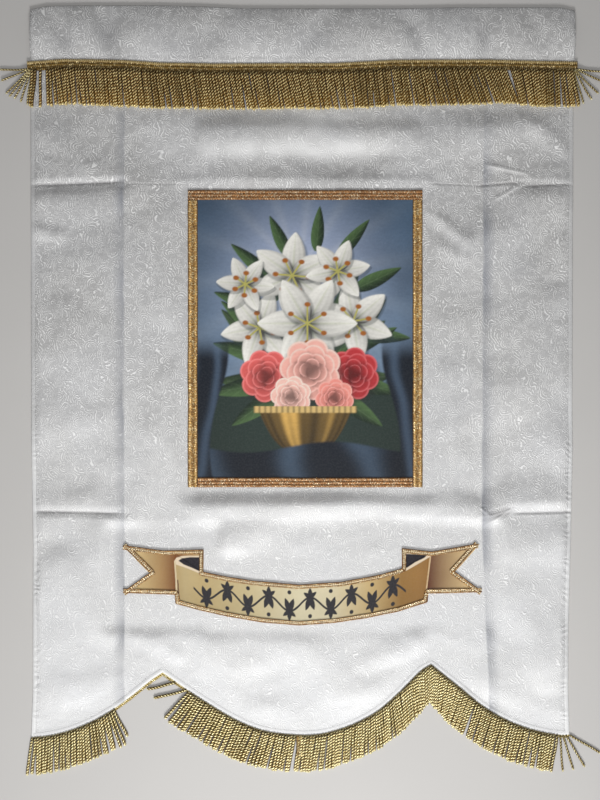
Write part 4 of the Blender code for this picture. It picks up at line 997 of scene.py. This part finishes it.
    # the gold bowl
    bowlTop, bowlBottom = -0.62, -1.02
    t = np.clip((v - bowlBottom) / (bowlTop - bowlBottom), 0.0, 1.0)
    half = 0.15 + 0.30 * np.sqrt(t)
    inBowl = ease((half - np.abs(u)) / 0.02) * ease((v - bowlBottom) / 0.02) * ease((bowlTop - v) / 0.02)
    sheen = 0.16 + 1.1 * np.exp(-((u / half + 0.35) / 0.20) ** 2) + 0.35 * np.exp(-((u / half - 0.55) / 0.13) ** 2)
    sheen = sheen * (0.80 + 0.20 * np.sin(np.arcsin(np.clip(u / half, -1, 1)) * 22)) * (0.7 + 0.5 * t)
    art.lay(inBowl, tinted(np.clip(sheen, 0, 1.4), (0.74, 0.44, 0.11)))
    band = ease((0.035 - np.abs(v - bowlTop + 0.03)) / 0.01) * ease((0.48 - np.abs(u)) / 0.02)
    art.lay(band, tinted(np.clip(0.5 + 0.7 * np.sin(u * 60) ** 2, 0, 1), (0.75, 0.52, 0.20)))
    # dark cloth over the table and as curtains at the sides, with soft folds
    folds = 0.5 + 0.5 * np.sin(u * 9 + v * 3 + 1.4 * softNoise(u, v, 0.4, 9))
    art.lay(ease((-0.98 + 0.05 * np.sin(u * 4.0 + 0.6) - v) / 0.03),
            np.array([0.004, 0.008, 0.017]) + tinted(folds ** 3, (0.050, 0.080, 0.120)))
    for side in (-1, 1):
        curtain = 0.70 - 0.16 * np.sin((v + 0.3) * 2.2) + 0.22 * ease((v + 0.4) / 0.9)
        folds = 0.5 + 0.5 * np.sin(side * u * 26 + v * 4 + 1.2 * softNoise(u, v, 0.3, 10 + side))
        art.lay(ease((side * u - curtain) / 0.03) * ease((0.05 - v) / 0.25),
                np.array([0.005, 0.010, 0.020]) + tinted(folds ** 3, (0.055, 0.085, 0.130)))
    brush = 1 + 0.05 * softNoise(u, v * 3.0, 0.035, 14) + 0.04 * softNoise(u, v, 0.012, 15)
    vignette = 1 - 0.28 * ease((np.hypot(u / 1.06, v / 1.36) - 0.55) / 0.7)
    return np.clip(art.tones * (brush * vignette)[..., None], 0.0, 1.0)


def flatSheet(name, x, y, level, thick, colours, material, node):
    # a painted sheet on a grid with its rows from the top down: its face, a rim and one flat face underneath
    rows, cols = x.shape
    top = np.stack((x, y, np.full(x.shape, level + thick)), -1).reshape(-1, 3)
    index = np.arange(rows * cols).reshape(rows, cols)
    rim = np.concatenate((index[0, :-1], index[:-1, -1], index[-1, :0:-1], index[:0:-1, 0]))
    under = len(top) + np.arange(len(rim))
    walls = np.stack((rim, under, np.roll(under, -1), np.roll(rim, -1)), -1)
    points = np.concatenate((top, top[rim] * (1, 1, 0) + (0, 0, level)))
    paint = colours.reshape(-1, 3)
    return addPiece(name, points, np.concatenate((gridQuads(rows, cols), walls))[:, ::-1], material, node,
                    [under.tolist()], colours=np.concatenate((paint, paint[rim])), solid=False)


def makePicture():
    # the printed sheet, and the four braids over its edges, each swaying a little
    d = picture
    left, right, top, bottom, inset, cell = (d[key] for key in ("left", "right", "top", "bottom", "inset", "cell"))
    x, y = (np.linspace(start, end, int(abs(end - start) / cell))
            for start, end in ((left + inset, right - inset), (top - inset, bottom + inset)))
    x, y = np.meshgrid(x, y)
    made = [flatSheet("picturePrint", x, y, d["level"], d["thick"], paintPicture(x, y),
                      paintFinish("paintedSatin", 1800.0), "picture_print")]
    w, gap = d["braid"]["width"], 0.0006
    sides = (("Top", (left, top), (right, top)), ("Left", (left + w, top - w - gap), (left + w, bottom)),
             ("Right", (right, top - w - gap), (right, bottom)),
             ("Bottom", (left + w + gap, bottom + w), (right - w - gap, bottom + w)))
    for k, (side, (x0, y0), (x1, y1)) in enumerate(sides):
        t = np.linspace(0, 1, 200)
        sway = 0.0005 * softNoise(t, 0, 0.12, 80 + k) * np.sin(np.pi * t) / math.hypot(x1 - x0, y1 - y0)
        swayed = np.stack((x0 + (x1 - x0) * t + sway * (y1 - y0), y0 + (y1 - y0) * t - sway * (x1 - x0)), -1)
        flat = side in ("Top", "Bottom")
        made.append(ribbedBraid("pictureBraid" + side, swayed, rosyBraid if flat else copperBraid, "braid",
                                "picture_braid_" + side.lower(), 90 + k, ribs=3 if flat else 2, **d["braid"]))
    return made


picturePieces = makePicture()
print("picture ready")


ribbon = {
    "level": 0.0019, "thick": 0.0010, "lap": 0.00035,
    "braid": dict(step=0.0010, width=0.0078, level=0.0032, thick=0.0015, ribs=3, bead=0.0040, edge=0.0004,
                  offset=-0.0010),
    # the band's ink from left to right, and the leaves of its scroll: turn in degrees, length, half width
    "inkStops": (-1.0, -0.93, -0.80, -0.45, 0.0, 0.22, 0.55, 0.80, 0.93, 1.0),
    "inks": ((0.47, 0.34, 0.155), (0.52, 0.40, 0.20), (0.50, 0.375, 0.175), (0.56, 0.455, 0.245), (0.68, 0.61, 0.41),
             (0.68, 0.60, 0.40), (0.54, 0.39, 0.175), (0.30, 0.158, 0.040), (0.325, 0.168, 0.046),
             (0.30, 0.15, 0.04)),
    "scroll": 0.0760,
    "leaves": ((90, 0.0165, 0.0042), (38, 0.0150, 0.0036), (142, 0.0150, 0.0036), (-70, 0.0230, 0.0050),
               (-110, 0.0230, 0.0050)),
    "upper": metres([(-3300, -2865), (-2559, -2966), (-1833, -2945), (-1838, -3352), (-1397, -3444), (-919, -3517),
        (-74, -3591), (700, -3540), (1415, -3407), (1825, -3288), (1825, -2922), (2364, -2984), (3208, -2837)]),
    "notchRight": (0.2763, -0.3334),
    "lower": metres([(3279, -3709), (2294, -3733), (2270, -3896), (1765, -4060), (1193, -4179), (588, -4271),
        (-74, -4319), (-754, -4262), (-1386, -4155), (-1893, -4041), (-2325, -3922), (-2347, -3756),
        (-3300, -3720)]),
    "notchLeft": (-0.2794, -0.3358),
    # outline of the band that lies in front of the tails
    "front": metres([(-2368, -3150), (-2206, -3251), (-2040, -3315), (-1840, -3398), (-1840, -2500), (1825, -2500),
        (1825, -3340), (1912, -3315), (2151, -3177), (2353, -3045), (2307, -3407), (2252, -3867), (2252, -4800),
        (-2325, -4800), (-2325, -3904), (-2344, -3499)]),
    # rolled corners: outline of the pale rim, outline of the dark opening inside it
    "curls": [
        (metres([(-2368, -3150), (-2325, -3086), (-2224, -3054), (-2077, -3049), (-1870, -3051), (-1838, -3398),
                 (-2040, -3315), (-2206, -3251), (-2325, -3214)]),
         metres([(-2289, -3141), (-2224, -3098), (-2077, -3076), (-1870, -3076), (-1870, -3348), (-2040, -3269),
                 (-2188, -3211)])),
        (metres([(1847, -2990), (2077, -2994), (2325, -3012), (2353, -3058), (2151, -3177), (1912, -3315),
                 (1825, -3340)]),
         metres([(1860, -3018), (2077, -3021), (2279, -3040), (2224, -3091), (2059, -3168), (1912, -3268),
                 (1860, -3280)]))],
    # lines beside the folds: points, colour, half thickness
    "foldLines": [(metres([(-2352, -3160), (-2330, -3500), (-2312, -3900)]), (0.76, 0.62, 0.40), 0.0013),
                  (metres([(-2300, -3500), (-2285, -3720), (-2262, -3920)]), (0.13, 0.060, 0.030), 0.0011),
                  (metres([(2338, -3080), (2296, -3420), (2245, -3850)]), (0.70, 0.50, 0.28), 0.0012),
                  (metres([(2240, -3840), (2120, -3905), (2000, -3950)]), (0.20, 0.085, 0.035), 0.0010)],
}


def lineHeight(x, points):
    # straight between the points, from left to right
    return np.interp(x, *np.array(sorted(points)).T)


def ribbonBlock(leftX, rightX, upperPoints, lowerPoints, cols, rows, notch):
    # grid between an upper and a lower line; a notch pulls the tail's end inwards
    t, v = np.linspace(0.0, 1.0, cols)[None, :], np.linspace(0.0, 1.0, rows)[:, None]
    x = leftX + (rightX - leftX) * t + 0 * v
    if notch is not None:
        end, depthX, depthV = notch
        pull = 1 - np.abs(v - depthV) / np.where(v < depthV, depthV, 1 - depthV)
        x = x + depthX * pull * ((1 - t) if end == "left" else t)
    up, down = lineHeight(x, upperPoints), lineHeight(x, lowerPoints)
    return x, up + (down - up) * v


def inside(x, y, outline, soft=0.0010):
    # 1 inside a closed outline, 0 outside, eased over its edge
    best = np.full(x.shape, 9.0)
    odd = np.zeros(x.shape, bool)
    for (x0, y0), (x1, y1) in zip(outline, outline[1:] + outline[:1]):
        best = np.minimum(best, lineDistance(x, y, x0, y0, x1, y1)[1])
        crosses = ((y0 > y) != (y1 > y)) & (x < (x1 - x0) * (y - y0) / (y1 - y0 + 1e-12) + x0)
        odd ^= crosses
    return ease(np.where(odd, best, -best) / soft + 0.5)


def paintRibbon(x, y):
    # the printed ribbon: shaded tails, a band with rolled corners over them, and a leafy scroll along it
    d = ribbon
    share = np.clip(np.abs(x - np.where(x < 0, -0.2335, 0.2290)) / 0.090, 0.0, 1.0)
    leftTail = tinted(1 - share, (0.205, 0.072, 0.018)) + tinted(share, (0.80, 0.61, 0.29))
    leftTail = leftTail + tinted(np.exp(-((share - 0.30) / 0.16) ** 2), (0.04, 0.020, 0.004))
    rightTail = tinted(1 - share, (0.115, 0.030, 0.012)) + tinted(share, (0.79, 0.58, 0.29))
    art = Canvas(np.where(x[..., None] < 0, leftTail, rightTail))
    # the band in front
    band = np.stack([np.interp((x + 0.003) / 0.23, d["inkStops"], [ink[k] for ink in d["inks"]])
                     for k in range(3)], -1)
    up, down = lineHeight(x, d["upper"][3:10]), lineHeight(x, d["lower"][2:11])
    v = (y - down) / (up - down)
    front = inside(x, y, d["front"])
    art.lay(front, band * (0.93 + 0.13 * ease(v))[..., None])
    # a leafy scroll with berries
    ink, run, tall, wave = (0.022, 0.020, 0.024), x + 0.006, 0.068, math.tau / d["scroll"]
    area = ease((0.196 - np.abs(run)) / 0.002) * front
    stem = 0.5 + 0.17 * np.sin(run * wave)
    slope = np.abs(0.17 * tall * wave * np.cos(run * wave))
    art.lay(ease((0.0017 * (1 + slope * 0.4) - np.abs(v - stem) * tall) / 0.0009 + 0.5) * area, ink)
    for k in range(-5, 5):
        middle, crest = (k + 0.5) * d["scroll"] / 2, 1 if k % 2 == 0 else -1
        high = v - 0.5 - 0.17 * crest
        for turn, size, thick in d["leaves"]:
            art.lay(petalMask(run, high * tall, middle, 0.0, turn * crest, size, thick)[2] * area, ink)
        berry = np.hypot(run - middle, (high + crest * 0.47) * tall)
        art.lay(ease((0.0036 - berry) / 0.0009 + 0.5) * area, ink)
    # the rolled corners: a pale rim round a dark opening, and lines beside the folds
    for rim, opening in d["curls"]:
        art.lay(inside(x, y, rim), (0.80, 0.66, 0.48))
        art.lay(inside(x, y, opening), (0.014, 0.010, 0.016))
    for line, colour, thick in d["foldLines"]:
        for start, end in zip(line, line[1:]):
            art.lay(ease((thick - lineDistance(x, y, *start, *end)[1]) / 0.0008 + 0.5), colour)
    fine = 1 + 0.04 * softNoise(x, y, 0.02, 33) + 0.02 * softNoise(x, y, 0.004, 34)
    return np.clip(art.tones * fine[..., None], 0.0, 1.0)


def makeRibbon():
    # one sheet in three parts side by side: tail, band and tail, lapped where the band's ends cover the tails
    d = ribbon
    up, low, tailLow = d["upper"], d["lower"], -0.3745
    finish = paintFinish("printedRibbon", 1800.0)
    made = []
    for name, x0, x1, above, below, lift, notch in (
            ("ribbonTailLeft", -0.3300, -0.1833, up[:3], [low[12], low[11], (-0.1833, tailLow)], 0.0,
             ("left", 0.0506, 0.576)),
            ("ribbonTailRight", 0.1825, 0.3243, up[10:], [(0.1825, tailLow), low[1], low[0]], 0.0,
             ("right", -0.0480, 0.57)),
            ("ribbonBand", -0.2347, 0.2294,
             [(-0.2347, -0.3010), (-0.1838, -0.3352), *up[4:9], (0.1825, -0.3288), (0.2294, -0.3010)],
             [(-0.2347, -0.3915), *low[2:11][::-1], (0.2294, -0.3890)], d["lap"], None)):
        x, y = ribbonBlock(x0, x1, above, below, int(abs(x1 - x0) / 0.0010), 84, notch)
        made.append(flatSheet(name, x, y, d["level"] + lift, d["thick"] - 0.0004, paintRibbon(x, y), finish,
                              "ribbon_print"))
    for k, (side, points) in enumerate((("Upper", up), ("Right", [up[-1], d["notchRight"], low[0]]), ("Lower", low),
                                        ("Left", [low[-1], d["notchLeft"], up[0]]))):
        made.append(ribbedBraid("ribbonBraid" + side, points, paleBraid, "braid", "ribbon_braid_" + side.lower(),
                                60 + k, **d["braid"]))
    return made


ribbonPieces = makeRibbon()
print("ribbon ready")


studio = {
    "centre": (-0.0055, -0.0190), "distance": 2.2, "tall": 1.4706,
    "floor": (0.60, 0.585, 0.565),
    "sky": 0.22,
    # lamps: name, place, what it points at, size, power, spread in degrees
    "lamps": [("window", (0.05, -3.05, 1.60), (0.0, 0.1, 0.0), 0.9, 17.5, 75.0),
              ("overhead", (0.0, -0.55, 2.6), (0.0, -0.1, 0.0), 0.7, 10.0, 140.0)],
}


def makeStudio():
    # floor, sky light, two lamps and the camera above
    d = studio
    mesh = bpy.data.meshes.new("floor")
    mesh.from_pydata([(x, y, -0.0004) for x, y in ((-6, -6), (6, -6), (6, 6), (-6, 6))], [], [(0, 1, 2, 3)])
    f = Finish("paleFloor", Roughness=0.75)
    grain = f.noise(f.place(), 5.0, 3.0)
    mesh.materials.append(f.end(Base_Color=f.mix(grain, d["floor"], tuple(c * 1.05 for c in d["floor"]))))
    linked("floor", mesh)
    world = bpy.data.worlds.new("studio")
    world.use_nodes = True
    background = world.node_tree.nodes["Background"].inputs
    background["Color"].default_value = (0.98, 0.985, 1.0, 1.0)
    background["Strength"].default_value = d["sky"]
    bpy.context.scene.world = world
    for name, place, aim, size, power, spread in d["lamps"]:
        light = bpy.data.lights.new(name, "AREA")
        light.shape, light.size, light.energy, light.spread = "DISK", size, power, math.radians(spread)
        lamp = linked(name, light)
        lamp.location = place
        lamp.rotation_euler = (Vector(aim) - Vector(place)).to_track_quat("-Z", "Y").to_euler()
    camera = bpy.data.cameras.new("camera")
    camera.sensor_width = 36.0
    camera.lens = 18.0 / (d["tall"] / 2 / d["distance"])
    eye = linked("camera", camera)
    eye.location = (*d["centre"], d["distance"])
    bpy.context.scene.camera = eye
    bpy.context.scene.view_settings.view_transform = "Standard"


makeStudio()
print("studio ready")
